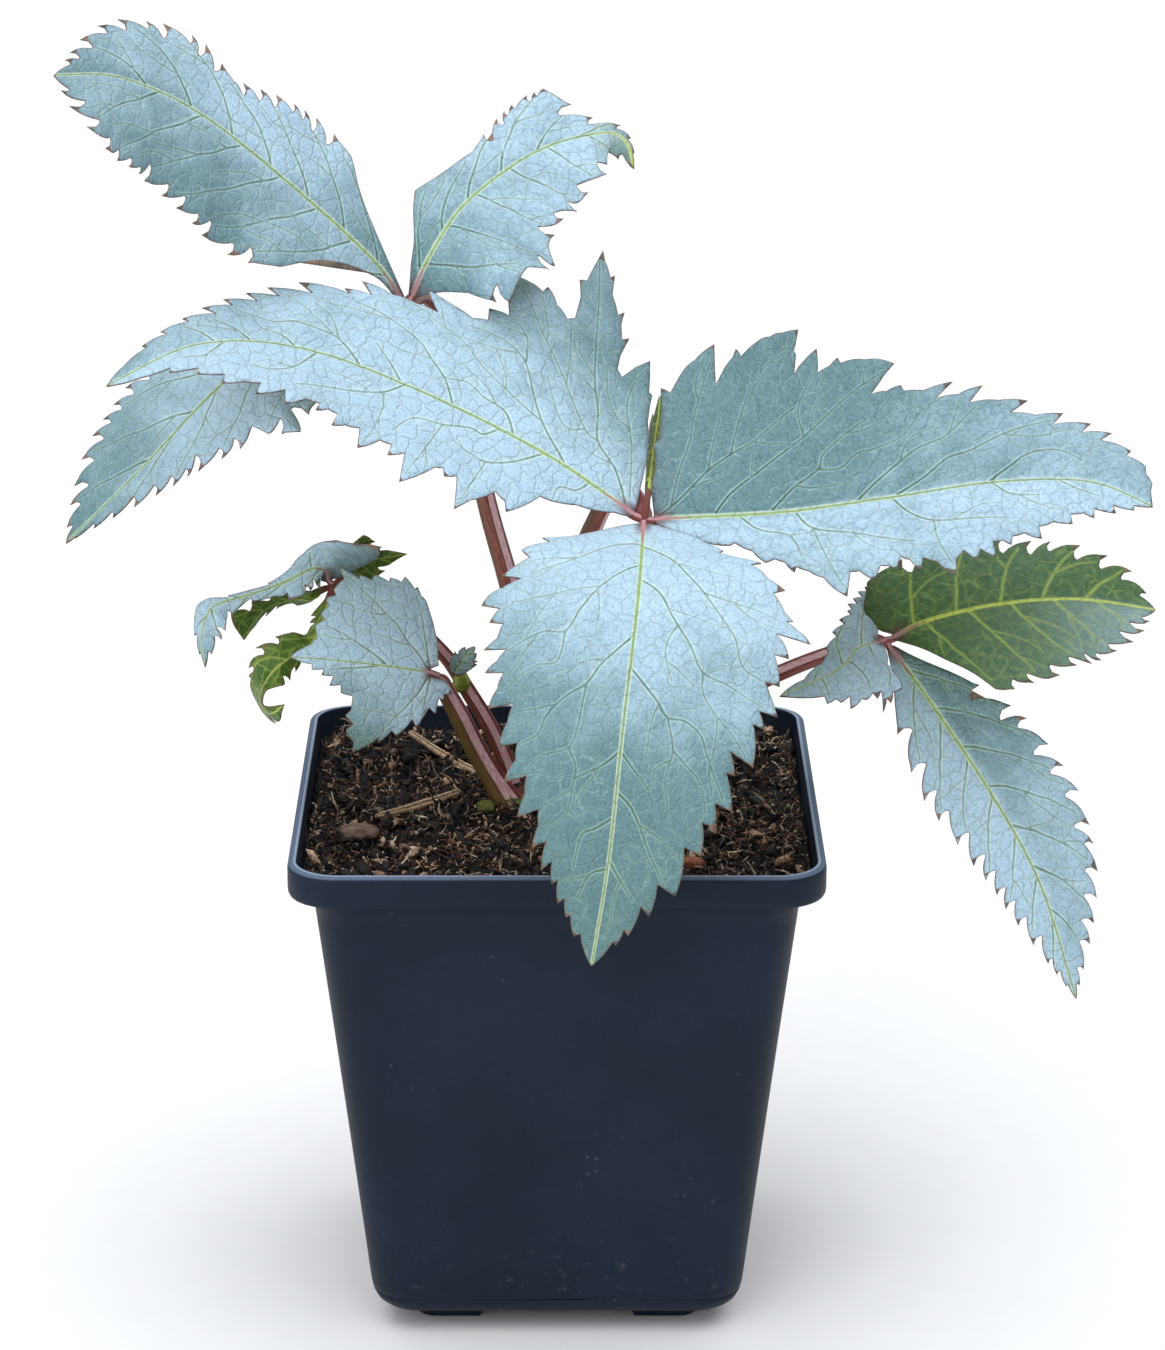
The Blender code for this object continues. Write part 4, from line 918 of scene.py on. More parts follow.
def triangles(loop, lines, spacing, rng):
    """The flat leaflet as triangles whose edges follow the margin and the veins."""
    points = list(loop)
    edges = [(i, (i + 1) % len(loop)) for i in range(len(loop))]
    for line in lines:
        first = len(points)
        points += list(line)
        edges += [(first + i, first + i + 1) for i in range(len(line) - 1)]
    tree = tree_of(points)
    low, high = loop.min(0), loop.max(0)
    grid = []
    for row, y in enumerate(np.arange(low[1], high[1], spacing * 0.87)):
        xs = np.arange(low[0] + spacing * (0.5 if row % 2 else 0), high[0], spacing)
        grid += [(x, y) for x in xs]
    grid = np.array(grid) + rng.uniform(-0.14, 0.14, (len(grid), 2)) * spacing
    grid = grid[inside_loop(grid, loop)]
    far, _ = distances(tree, grid)
    points += list(grid[far > 0.62 * spacing])
    veins = tree_of(np.vstack([evenly(line, 0.2) for line in lines[1:]]))
    for _ in range(2):
        flat, faces = joined(points, edges)
        sides = {tuple(sorted((f[i], f[i - 1]))) for f in faces for i in range(3)}
        sides = np.array(sorted(sides))
        close, _ = distances(veins, flat)
        bridges = sides[(close[sides[:, 0]] < 0.15) & (close[sides[:, 1]] < 0.15)]
        middle = (flat[bridges[:, 0]] + flat[bridges[:, 1]]) / 2
        apart, _ = distances(veins, middle)
        points += list(middle[apart > 0.22])
    flat, faces = joined(points, edges)
    return flat, [tuple(f) for f in faces]


square = [(0, 0), (1, 0), (1, 1), (0, 1)]
print("triangles in a square:", len(joined(square, [(0, 1), (1, 2), (2, 3), (3, 0)])[1]))

# %% [markdown]
# ## Objects that keep numbers
# Every shape below is made in millimetres and becomes an object in metres.  A mesh can
# keep a number for each point, and the paints read those numbers back, so that colour
# stays on its vein or rib however the surface bends.

# %% Objects
def put(mesh, name, kind, values):
    """Keeps a number or a vector for each point of the mesh."""
    field = mesh.attributes.new(name, kind, "POINT")
    key = "vector" if kind == "FLOAT_VECTOR" else "value"
    field.data.foreach_set(key, np.asarray(values, np.float32).ravel())


def new_object(name, verts, faces, materials, indices=None, flat_from=None):
    """An object in the scene from vertices in millimetres; faces from flat_from on are flat."""
    mesh = bpy.data.meshes.new(name)
    mesh.from_pydata([tuple(v) for v in (np.asarray(verts) * MM).tolist()], [], faces)
    for material in materials:
        mesh.materials.append(material)
    smooth = np.ones(len(faces), bool)
    if flat_from is not None:
        smooth[flat_from:] = False
    mesh.polygons.foreach_set("use_smooth", smooth)
    if indices is not None:
        mesh.polygons.foreach_set("material_index", np.asarray(indices, np.int32))
    obj = bpy.data.objects.new(name, mesh)
    scene.collection.objects.link(obj)
    return obj


print("a millimetre is", MM, "m")

# %% [markdown]
# ## Measures over a leaf
# Relief and colour both depend on where a point lies: how far from the midrib, from the
# nearest vein and from the margin.  These helpers take those measures.

# %% Measures over a leaf
WHOLE_EDGE_AT = 34         # millimetres from the midrib where an edge value counts in full
FINE = 0.25                # millimetres between the points that distances are taken to


def spread(rows, x, y, length):
    """A measure painted over the leaf.

    The rows run from base to tip, and each has the values at (left edge, left of the
    midrib, right of the midrib, right edge).
    """
    rows = np.array(rows, float)
    at = np.clip(x / length, 0, 1) * (len(rows) - 1)
    columns = [np.interp(at, np.arange(len(rows)), rows[:, k]) for k in range(4)]
    left_edge, left, right, right_edge = columns
    out = np.clip(np.abs(y) / WHOLE_EDGE_AT, 0, 1)
    left = left + (left_edge - left) * out
    right = right + (right_edge - right) * out
    side = np.clip(0.5 + y / 5.0, 0, 1)
    return left * side + right * (1 - side)


def bump_over(distance, width):
    """One on a line, falling softly to nothing at about twice the width."""
    return np.exp(-(distance / width) ** 2)


def nearest_vein(lines, flat):
    """For each flat point, the distance to the nearest vein and that vein's thickness."""
    dense, sizes = [], []
    for line, start, end in lines:
        fine = evenly(line, FINE)
        dense.append(fine)
        sizes.append(np.linspace(start, end, len(fine)))
    vein, which = distances(tree_of(np.vstack(dense)), flat)
    return np.where(vein < 0.13, 0, vein), np.concatenate(sizes)[which]


print("halfway out, a groove has", round(float(bump_over(0.5, 1.0)), 2), "of its depth")

# %% [markdown]
# ## One leaflet
# The bent sheet's veins sink in on top and stand out below, and the skin between them
# swells slightly, which is what catches the light on the real leaf.  The margin rolls up
# and down in slow waves.  The blade is 0.2 mm thick at its margin and 0.5 mm inside, and
# has its own paint above, below and round the rim.

# %% One leaflet
SWELL, SWELL_WIDE = 0.42, 1.9             # the skin between veins, in millimetres
SWELL_FROM_MARGIN = 2.5
GROOVE, GROOVE_WIDE = 0.34, 0.75          # the midrib's groove above
RIDGE, RIDGE_WIDE = 0.95, 0.80            # the midrib's ridge below
VEIN_GROOVE, VEIN_GROOVE_WIDE = 0.17, 0.6
VEIN_RIDGE, VEIN_RIDGE_WIDE = 0.30, 0.5
HALF_AT_MARGIN, HALF_MORE_INSIDE = 0.11, 0.13
WAVE_FULL_AT = 25                         # from the midrib


def leaflet(name, spec, number, spacing, relief, green_share, tone, wave):
    """Makes one leaflet; returns its number of faces."""
    rng = random.Random(name)
    sheet = bent(spec)
    left = margin(spec["left"], rng, spacing)
    right = margin(spec["right"], rng, spacing)
    scale = sheet.length / left[-1][0]
    loop = np.vstack([left, (right * [1, -1])[::-1][1:]]) * [scale, 1]
    midrib, lines = vein_network(name, spec, loop, sheet.length, scale, rng, spacing)
    every_line = [midrib] + [line for line, _, _ in lines]
    flat, faces = triangles(loop, every_line, spacing, np.random.default_rng(number))
    x, y = flat[:, 0], flat[:, 1]
    vein, size = nearest_vein(lines, flat)
    edge, _ = distances(tree_of(evenly(np.vstack([loop, loop[:1]]), FINE)), flat)

    # The relief, in millimetres from the bent sheet.
    t = np.clip(x / sheet.length, 0, 1)
    taper = 1 - 0.75 * t
    inner = np.clip(edge / SWELL_FROM_MARGIN, 0, 1)
    swell = relief * SWELL * inner * (1 - bump_over(np.minimum(vein, np.abs(y)), SWELL_WIDE))
    groove = (GROOVE * taper * bump_over(y, GROOVE_WIDE)
              + VEIN_GROOVE * size * bump_over(vein, VEIN_GROOVE_WIDE))
    ridge = (RIDGE * taper * bump_over(y, RIDGE_WIDE)
             + VEIN_RIDGE * size * bump_over(vein, VEIN_RIDGE_WIDE))
    height, turns, phase = wave
    cycle = 2 * math.pi * (turns * t + phase) + np.where(y > 0, 0, 1.9)
    roll = height * (np.abs(y) / WAVE_FULL_AT) ** 1.5 * np.sin(cycle)
    half = HALF_AT_MARGIN + HALF_MORE_INSIDE * np.clip(edge / 1.2, 0, 1)
    place, normal = sheet.place(x, y)
    top = place + normal * (roll + swell - relief * groove + half)[:, None]
    low = place + normal * (roll + swell - relief * ridge - half)[:, None]

    # The upper side, the lower side and the rim between them.
    n = len(flat)
    used = {(f[i], f[(i + 1) % len(f)]) for f in faces for i in range(len(f))}
    rim = sorted((a, b) for a, b in used if (b, a) not in used)
    solid = faces + [tuple(v + n for v in reversed(f)) for f in faces]
    solid += [(b, a, a + n, b + n) for a, b in rim]
    indices = [0] * len(faces) + [1] * len(faces) + [2] * len(rim)
    obj = new_object(name + "_blade", np.vstack([top, low]), solid, LEAF_MATERIALS, indices,
                     2 * len(faces))

    # What the paints read.
    drawing = np.stack([x, y, np.full(n, 11.0 * number)], 1)
    put(obj.data, "flat", "FLOAT_VECTOR", np.tile(drawing, (2, 1)))
    rib_wide = (1.2 - 0.6 * t) * min(1, 0.2 + sheet.length / 100)
    # bloom holds painted light and shade: the upper side's slope to the sky, lighter where it faces
    # up, plus the leaflet's tone table.
    for key, values in (("vein", vein / (0.62 + 0.45 * size)), ("vein_size", size),
                        ("edge", edge), ("across", y), ("rib", np.abs(y) / rib_wide),
                        ("along", x * max(1, 75 / sheet.length)),
                        ("bloom_painted_light", normal[:, 2] + spread(tone, x, y, sheet.length)),
                        ("green_share", np.clip(spread(green_share, x, y, sheet.length), 0, 1))):
        put(obj.data, key, "FLOAT", np.tile(values, 2))
    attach(obj, "root")
    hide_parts(name)
    return len(solid)


print("thickest skin:", 2 * (HALF_AT_MARGIN + HALF_MORE_INSIDE), "mm")

# %% [markdown]
# ## The leaf's upper side
# The upper side is green under a waxy, powder-blue bloom.  The bloom carries painted light
# and shade: lighter where the leaf faces up, darker where it hangs.  Veins show as green
# lines with a pale border, a fine net lies between them, and the thin margin is brown.
# Where a leaflet's green share is high, the paint turns from the bloom's blue to green and
# the net turns yellow-green.

# %% Upper side
def leaf_fields(p, net_scale):
    """The measures that both sides of a leaf are painted from."""
    flat = p.vector("flat")
    wobble = p.add("TexNoise", {"Vector": flat, "Scale": 0.33, "Detail": 2.0}).outputs["Color"]
    moved = p.add("VectorMath", {0: wobble, 1: (0.5, 0.5, 0.5)}, operation="SUBTRACT").outputs[0]
    moved = p.add("VectorMath", {0: moved, "Scale": 4.0}, operation="SCALE").outputs[0]
    moved = p.add("VectorMath", {0: flat, 1: moved}, operation="ADD").outputs[0]
    cells = p.add("TexVoronoi", {"Vector": moved, "Scale": net_scale},
                  feature="DISTANCE_TO_EDGE", voronoi_dimensions="2D")
    net = p.math("DIVIDE", cells.outputs["Distance"], net_scale)
    return flat, p.math("ABSOLUTE", p.value("across")), p.value("vein"), net


def leaf_top():
    p = Paint("leaf_upper_side")
    flat, across, vein, net = leaf_fields(p, 0.24)
    size, along, green_share = p.value("vein_size"), p.value("along"), p.value("green_share")
    cloud = p.noise(flat, 0.09, 4, 0.6)
    grain = p.noise(flat, 1.5, 5, 0.7)
    # Painted light and shade: the bloom is painted lighter where the upper side faces up, changed
    # by the tone table and a soft cloud.
    painted_lightness = p.step(p.math("ADD", p.value("bloom_painted_light"), p.times(cloud, 0.7)), 0.45, 1.25)

    def painted_bloom_colour(shaded, bright):
        """A colour of the bloom with painted shade and painted light: the first where it is painted
        shaded, the second where painted lit.
        """
        return p.mix(painted_lightness, rgb(*shaded), rgb(*bright))

    # Each bloom colour below has a painted shaded copy and a painted lit copy.
    bloom_painted_light = painted_bloom_colour((106, 141, 151), (190, 219, 241))
    bloom_painted_light = p.mix(p.step(grain, 0.45, 0.62, 0, 0.7), bloom_painted_light, painted_bloom_colour((74, 106, 112), (142, 176, 203)))
    bloom_painted_light = p.mix(p.step(p.noise(flat, 2.6, 2), 0.56, 0.72, 0, 0.5), bloom_painted_light,
                  painted_bloom_colour((140, 178, 188), (214, 236, 250)))
    green = p.mix(p.step(p.noise(flat, 0.6, 3), 0.4, 0.65), rgb(56, 94, 36), rgb(78, 112, 52))
    skin = p.mix(green_share, bloom_painted_light, green)

    # The fine net, with its pale border first and the thin line over it.
    seen = p.step(p.noise(flat, 0.11), 0.36, 0.62, 0.2, 0.8)
    border = p.mix(green_share, painted_bloom_colour((158, 196, 204), (216, 238, 248)), rgb(120, 148, 62))
    skin = p.mix(p.times(p.step(net, 0.30, 0.62, 0.5, 0), seen), skin, border)
    thread = p.mix(green_share, painted_bloom_colour((72, 106, 106), (132, 170, 184)), rgb(128, 154, 66))
    skin = p.mix(p.times(p.step(net, 0.08, 0.24, 0.6, 0), seen), skin, thread)

    # Veins, again border first, and then the midrib with its yellow-green core.
    beside = p.times(p.step(vein, 0.42, 0.80, 1, 0), p.math("ADD", 0.1, p.times(size, 0.58)))
    border = p.mix(green_share, painted_bloom_colour((164, 202, 208), (222, 243, 250)), rgb(116, 146, 60))
    skin = p.mix(beside, skin, border)
    on_it = p.times(p.step(vein, 0.16, 0.38, 1, 0), p.math("ADD", 0.3, p.times(size, 0.7)))
    line = p.mix(green_share, painted_bloom_colour((58, 92, 80), (108, 146, 134)), rgb(160, 180, 78))
    skin = p.mix(on_it, skin, line)
    rib = p.step(p.value("rib"), 0.45, 0.90, 0.85, 0)
    skin = p.mix(rib, skin, p.mix(green_share, rgb(200, 224, 205), rgb(190, 205, 90)))
    core = p.mix(p.step(along, 20, 80), rgb(132, 160, 76), rgb(104, 136, 92))
    core = p.mix(green_share, core, rgb(206, 214, 96))
    skin = p.mix(p.step(p.value("rib"), 0.20, 0.44, 0.82, 0), skin, core)

    # The reddish base and the brown margin.
    base = p.times(p.step(along, 1.0, 7.5, 1, 0), p.step(across, 0.8, 3.0, 1, 0.15))
    skin = p.mix(p.times(base, 0.85), skin, p.mix(rib, rgb(96, 58, 66), rgb(166, 118, 124)))
    brown = p.mix(p.step(p.noise(flat, 0.4), 0.35, 0.7), rgb(84, 66, 54), rgb(150, 116, 90))
    skin = p.mix(p.step(p.value("edge"), 0.08, 0.36, 0.9, 0), skin, brown)

    height = p.math("ADD", p.times(grain, 0.6), p.times(p.noise(flat, 4.5, 2), 0.35))
    height = p.math("SUBTRACT", height, p.times(p.step(net, 0.0, 0.5, 1, 0), 0.7))
    rough = p.math("ADD", 0.46, p.times(grain, 0.18))
    return p.finish(skin, rough, p.bump(height, 0.9, 0.00045), Specular_IOR_Level=0.35,
                    Sheen_Weight=0.08, Sheen_Roughness=0.4)

# %% [markdown]
# ## The leaf's lower side and rim
# Below there is no bloom: plain olive green with a yellow-green net.  The rim is so thin
# that it only shows as a brown line round the leaf.

# %% Lower side and rim
def leaf_under():
    p = Paint("leaf_lower_side")
    flat, across, vein, net = leaf_fields(p, 0.27)
    grain = p.noise(flat, 1.4, 4, 0.6)
    skin = p.mix(p.step(p.noise(flat, 0.2, 3), 0.35, 0.7), rgb(66, 98, 34), rgb(96, 122, 52))
    skin = p.mix(p.step(grain, 0.4, 0.75, 0, 0.5), skin, rgb(50, 78, 30))
    skin = p.mix(p.step(net, 0.08, 0.32, 0.6, 0), skin, rgb(138, 162, 66))
    thick = p.math("ADD", 0.3, p.times(p.value("vein_size"), 0.5))
    skin = p.mix(p.times(p.step(vein, 0.12, 0.38, 1, 0), thick), skin, rgb(152, 172, 78))
    skin = p.mix(p.step(p.value("rib"), 0.30, 0.80, 0.9, 0), skin, rgb(172, 184, 90))
    base = p.times(p.step(p.value("along"), 2.0, 10.0, 1, 0), p.step(across, 0.6, 3.0, 1, 0.2))
    skin = p.mix(p.times(base, 0.8), skin, rgb(150, 84, 70))
    skin = p.mix(p.step(p.value("edge"), 0.1, 0.5, 0.8, 0), skin, rgb(110, 84, 52))
    height = p.math("ADD", p.times(grain, 0.6), p.times(p.step(net, 0.0, 0.4, 1, 0), 0.8))
    return p.finish(skin, 0.5, p.bump(height, 0.5, 0.0002), Specular_IOR_Level=0.4)


def leaf_rim():
    p = Paint("leaf_margin")
    shade = p.noise(p.vector("flat"), 0.7, 3)
    return p.finish(p.mix(p.step(shade, 0.4, 0.65), rgb(70, 46, 36), rgb(128, 92, 68)), 0.55)


LEAF_MATERIALS = [leaf_top(), leaf_under(), leaf_rim()]
print("leaf materials:", [material.name for material in LEAF_MATERIALS])

# %% [markdown]
# ## How green each leaflet is, and its painted light and shade
# Both tables are painted over a leaflet row by row, from base to tip.  The first is the
# share of green that takes the place of the bloom's blue.  The second is painted light and
# shade: it makes the bloom lighter or darker than its slope to the sky does.

# %% Green share and painted light
# The share of green that takes the place of the bloom's blue, over each leaflet's regions.
GREEN_SHARE = {
    "right_leaflet_outer": ((0.95, 1, 1, 1), (0.8, 0.9, 0.9, 0.8), (0.95, 0.95, 0.5, 0.35)),
    "right_leaflet_folded": ((0.1, 0.1, 0.25, 0.35), (0.1, 0.1, 0.25, 0.4), (0.3, 0.3, 0.45, 0.55)),
    "low_leaflet_broad": (
        (0.1, 0.05, 0.05, 0.1), (0.3, 0.1, 0.05, 0.3), (0.55, 0.1, 0.05, 0.3),
        (0.2, 0.05, 0.1, 0.3)),
    "top_leaflet_right": (
        (0.05, 0.05, 0.05, 0.05), (0.05, 0.05, 0.05, 0.05), (0.05, 0.05, 0.05, 0.05),
        (0.05, 0.05, 0.05, 0.05), (0.7, 0.8, 0.8, 0.7)),
    "right_leaflet_lower": ((0.3, 0.3, 0.25, 0.2), (0.1, 0.1, 0.1, 0.1), (0.1, 0.1, 0.1, 0.2)),
    "small_leaflet_arched": ((0.1, 0.1, 0.1, 0.1), (0.1, 0.1, 0.1, 0.1)),
    "main_leaflet_back": ((0.6, 0.6, 0.6, 0.6), (0.5, 0.5, 0.5, 0.5)),
    "young_leaf_blade": ((0.25, 0.25, 0.25, 0.25), (0.3, 0.3, 0.3, 0.3)),
    "main_leaflet_front": (
        (0.1, 0.05, 0.05, 0.1), (0.05, 0.05, 0.05, 0.05), (0.25, 0.25, 0.25, 0.25)),
}
# Painted light and shade for each leaflet's bloom, row by row from base to tip.
PAINTED_LIGHT_AND_SHADE = {
    "main_leaflet_left": ((0.15, 0.2, 0.23, -0.64), (0.02, 0, 0.1, -0.11), (0.07, 0, -0.49, -0.4)),
    "main_leaflet_right": (
        (-1.1, -0.95, -0.07, -0.12), (-0.4, -0.28, -0.1, -0.2), (-0.1, -0.08, 0, -0.09)),
    "main_leaflet_front": (
        (0.1, 0.1, 0.18, -0.13), (-0.21, -0.18, -0.18, -0.4), (-0.5, -0.55, -0.65, -0.72)),
    "top_leaflet_left": (
        (0.41, 0.32, -0.15, 0.24), (-0.25, 0.12, 0.57, 0.72), (-0.2, -0.37, -0.3, -0.17)),
    "top_leaflet_right": (
        (-0.23, -0.29, -0.28, 0.2), (0.1, 0, -0.09, -0.08), (0.2, 0.35, 0.1, -0.3)),
    "top_leaflet_drooping": (
        (0.55, 0.68, 0.8, 0.87), (0.42, 0.42, 0.1, 0), (-0.63, -0.44, -0.5, -0.65)),
    "right_leaflet_lower": (
        (-0.2, -0.27, 0.28, 0.48), (0.3, 0.3, 0.63, 0.55), (0.53, 0.5, 0.53, 0.4)),
    "right_leaflet_folded": (
        (0.3, 0.64, 0.3, 0.14), (0.78, 0.89, 0.1, -0.1), (0.25, 0.25, -0.2, -0.15)),
    "right_leaflet_outer": ((0, 0, 0, 0), (-0.3, -0.3, -0.2, -0.2), (-0.3, -0.3, 0, 0)),
    "low_leaflet_broad": (
        (0.3, 0.8, 0.62, 0.02), (-0.4, 0.55, 0.65, -0.05), (-1.1, 0.3, 0.6, -0.2),
        (0.1, 0.46, 0.5, -0.35)),
    "young_leaf_blade": ((0.6, 0.6, 0.6, 0.6), (0.5, 0.5, 0.5, 0.5)),
    "small_leaflet_arched": ((0.5, 0.5, 0.5, 0.5), (0.4, 0.4, 0.4, 0.4)),
}
print("leaflets with their own tone:", len(PAINTED_LIGHT_AND_SHADE))

# %% [markdown]
# ## Growing the leaflets
# Big leaflets use a mesh step of a millimetre, and small ones a finer step, so that the
# teeth of both come out equally sharp.

# %% Leaflets
LONG_LEAFLET = 0.075       # metres across the leaflet's box
PLAIN = ((0.06, 0.06, 0.06, 0.06), (0.06, 0.06, 0.06, 0.06))

for number, (name, spec) in enumerate(LEAFLETS.items()):
    low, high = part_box(name)
    long_one = (high - low).length > LONG_LEAFLET
    made = leaflet(name, spec, number,
                   spacing=1.05 if long_one else 0.7,
                   relief=1.0 if long_one else 0.7,
                   green_share=GREEN_SHARE.get(name, PLAIN), tone=PAINTED_LIGHT_AND_SHADE.get(name, PLAIN),
                   wave=(1.1 if long_one else 0.15, 3.5 + number % 3, 0.17 * number))
    print(name, made)

# %% [markdown]
# ## Heaps and tubes
# A stalk is round outside, with a shallow channel on its inner side and fine ribs all
# along it.  A curve with a bevel would give a plain round rod, so the rings are made here,
# point by point.  A heap gathers many such shapes into one mesh.

# %% Heaps and tubes
class Heap:
    """Collects many small shapes, with numbers for each point, into one mesh."""

    def __init__(self):
        self.verts, self.faces, self.fields, self.count = [], [], {}, 0

    def add(self, verts, faces, **fields):
        self.verts.append(np.asarray(verts, float))
        self.faces += [tuple(i + self.count for i in f) for f in faces]
        for key, value in fields.items():
            values = np.broadcast_to(np.asarray(value, float), (len(verts),))
            self.fields.setdefault(key, []).append(values)
        self.count += len(verts)

    def build(self, name, material):
        obj = new_object(name, np.vstack(self.verts), self.faces, [material])
        for key, parts in self.fields.items():
            put(obj.data, key, "FLOAT", np.concatenate(parts))
        return obj


def wall_between(rings, n):
    """Faces between a number of rings, one above the other, of n points each."""
    return [(i * n + k, i * n + (k + 1) % n, (i + 1) * n + (k + 1) % n, (i + 1) * n + k)
            for i in range(rings - 1) for k in range(n)]


def lids(rings, n):
    """The faces that close the first and the last ring."""
    return [tuple(reversed(range(n))), tuple((rings - 1) * n + k for k in range(n))]


def tube(path, radii, face, spacing, sides, channel, foot=0.0, head=0.0):
    """A ribbed tube with a channel along the side that looks towards face.

    foot and head are how much wider its ends are.
    """
    line = evenly(smooth_path(path, 24), spacing)
    at = travelled(line)
    to_end = at[-1] - at
    radius = np.interp(at, np.linspace(0, at[-1], len(radii)), radii)
    radius = radius * (1 + foot * bump_over(at, 6.0) + head * bump_over(to_end, 3.5))
    radius[-3:] *= (0.93, 0.72, 0.40)
    along = unit(np.gradient(line, at, axis=0))
    up = np.asarray(face, float)
    up = unit(up - along * (along @ up)[:, None])
    other = np.cross(along, up)
    angle = np.linspace(-math.pi, math.pi, sides, endpoint=False)
    shape = (1 - channel * np.exp(-(angle / 0.5) ** 4)
             + 0.2 * channel * np.exp(-((np.abs(angle) - 0.95) / 0.25) ** 2)
             + 0.02 * np.sin(9 * angle)
             + 0.05 * channel * np.cos(8 * angle) * (np.abs(angle) < 0.6))
    ring = radius[:, None] * shape
    verts = (line[:, None] + up[:, None] * (ring * np.cos(angle))[..., None]
             + other[:, None] * (ring * np.sin(angle))[..., None]).reshape(-1, 3)
    rows = len(line)
    fields = dict(around=np.tile(np.abs(angle) / math.pi, rows), turn=np.tile(angle, rows),
                  along=np.repeat(at, sides), to_hub=np.repeat(to_end, sides))
    return verts, wall_between(rows, sides) + lids(rows, sides), fields


print("faces of a tube with 3 rings of 8:", len(wall_between(3, 8) + lids(3, 8)))

# %% [markdown]
# ## The stalk's skin
# A stalk's back is brown, its flanks are wine red, and the channel is pale pink between
# two dark lines.  The noise is stretched along the stalk, because its fibres run that way.

# %% Stalk paint
def stalk_paint():
    p = Paint("leaf_stalk_skin")
    around, turn = p.value("around"), p.value("turn")
    stretched = {0: p.times(turn, 2.2), 1: p.times(p.value("along"), 0.06), 2: p.value("seed")}
    where = p.add("CombineXYZ", stretched).outputs[0]
    streak = p.noise(where, 2.6, 4, 0.6)
    fine = p.noise(where, 9.0, 3, 0.6)
    back = p.mix(p.step(streak, 0.36, 0.66), rgb(96, 52, 36), rgb(124, 74, 52))
    back = p.mix(p.step(fine, 0.48, 0.70, 0, 0.7), back, rgb(66, 28, 20))
    flank = p.mix(p.step(streak, 0.4, 0.6), rgb(168, 92, 84), rgb(122, 54, 50))
    flank = p.mix(p.step(fine, 0.5, 0.7, 0, 0.6), flank, rgb(84, 34, 32))
    channel = p.mix(p.step(fine, 0.38, 0.62), rgb(255, 220, 226), rgb(214, 142, 158))
    skin = p.mix(p.step(around, 0.30, 0.60), flank, back)
    skin = p.mix(p.step(around, 0.13, 0.20, 1, 0), skin, channel)
    border = p.math("ABSOLUTE", p.math("SUBTRACT", around, 0.19))
    skin = p.mix(p.step(border, 0.012, 0.04, 0.75, 0), skin, rgb(92, 34, 36))
    olive = p.times(p.step(turn, -0.3, -0.9), p.value("olive"))
    olive = p.times(olive, p.step(streak, 0.3, 0.55, 0.6, 1))
    skin = p.mix(olive, skin, p.mix(p.step(fine, 0.45, 0.65), rgb(122, 108, 52), rgb(92, 70, 38)))
    skin = p.mix(p.step(p.value("to_hub"), 0.0, 12.0, 0.6, 0), skin, rgb(128, 62, 66))
    height = p.math("ADD", p.times(streak, 0.7), p.times(fine, 0.5))
    rough = p.math("ADD", 0.36, p.times(fine, 0.2))
    return p.finish(skin, rough, p.bump(height, 0.7, 0.0003), Specular_IOR_Level=0.45)


STALK_SKIN = stalk_paint()
print("stalk paint nodes:", len(STALK_SKIN.node_tree.nodes))

# %% [markdown]
# ## Growing the stalks
# A stalk's foot widens into the crown, and at its head short stems run out under the
# leaflets' midribs, so that leaf and stalk join.

# %% Stalks
STALK_FACES = {            # where the channel looks, and how the leaf's names begin
    "main_leaf_petiole": ((0.85, -0.5, 0.35), "main_"),
    "top_leaf_petiole": ((0.75, -0.65, 0.1), "top_"),
    "right_leaf_petiole": ((-0.2, -0.75, 0.65), "right_"),
    "low_leaf_petiole": ((0.55, -0.8, 0.2), "low_"),
    "small_leaf_petiole": ((0.1, -0.8, 0.6), "small_"),
}
STEM_AT = np.array([0.0, 0.3, 0.65, 1.0])
STEM_THICKNESS = np.array([1.0, 0.75, 0.5, 0.22])


def stem_under(spec, hub, radius):
    """A short stem from the hub along the underside of a leaflet's midrib."""
    sheet = bent(spec)
    reach = min(9.0, 0.15 * sheet.length)
    place, normal = sheet.place(STEM_AT * reach, np.zeros(4))
    thick = 0.5 * radius * STEM_THICKNESS
    path = [np.array(hub, float)] + list(place - normal * thick[:, None] * 0.75)
    radii = [thick[0] * 1.05] + list(thick)
    verts, faces, fields = tube(path, radii, spec["face"][0], 0.6, 18, 0.12)
    fields["to_hub"] = np.full(len(verts), 2.0)
    return verts, faces, fields


for number, (name, (path, radii)) in enumerate(STALKS.items()):
    face, leaf = STALK_FACES[name]
    heap = Heap()
    verts, faces, fields = tube(path, radii, face, 0.9, 40, 0.26, foot=0.35, head=0.12)
    olive = 0.9 if name == "low_leaf_petiole" else 0.15
    heap.add(verts, faces, seed=3.1 * number, olive=olive, **fields)
    for other, spec in LEAFLETS.items():
        if other.startswith(leaf):
            verts, faces, fields = stem_under(spec, path[-1], radii[-1])
            heap.add(verts, faces, seed=3.1 * number + 1, olive=0, **fields)
    obj = heap.build(name + "_skin", STALK_SKIN)
    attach(obj, "root")
    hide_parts(name)
    print(name, len(obj.data.polygons))

# %% [markdown]
# ## Stacked squares
# A square nursery pot is moulded in one thin-walled piece.  It could be a box with
# bevels, but its collar, feet and edges all have radii of their own.  So it is a stack of
# rounded squares, each a ring of points at one height.

# %% Rounded squares
low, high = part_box("pot")
POT_TOP = high.z / MM
RIM_HALF = high.x / MM
RIM_BAND = 8.2             # height of the collar
UNDER_RIM = POT_TOP - RIM_BAND
FOOT_IN = 18.7             # the feet begin this far from the middle of a side
SKIRT_LIFT = 1.8           # how far the edge between two feet is lifted
SLIT_FROM, SLIT_TO = -5.0, 6.0


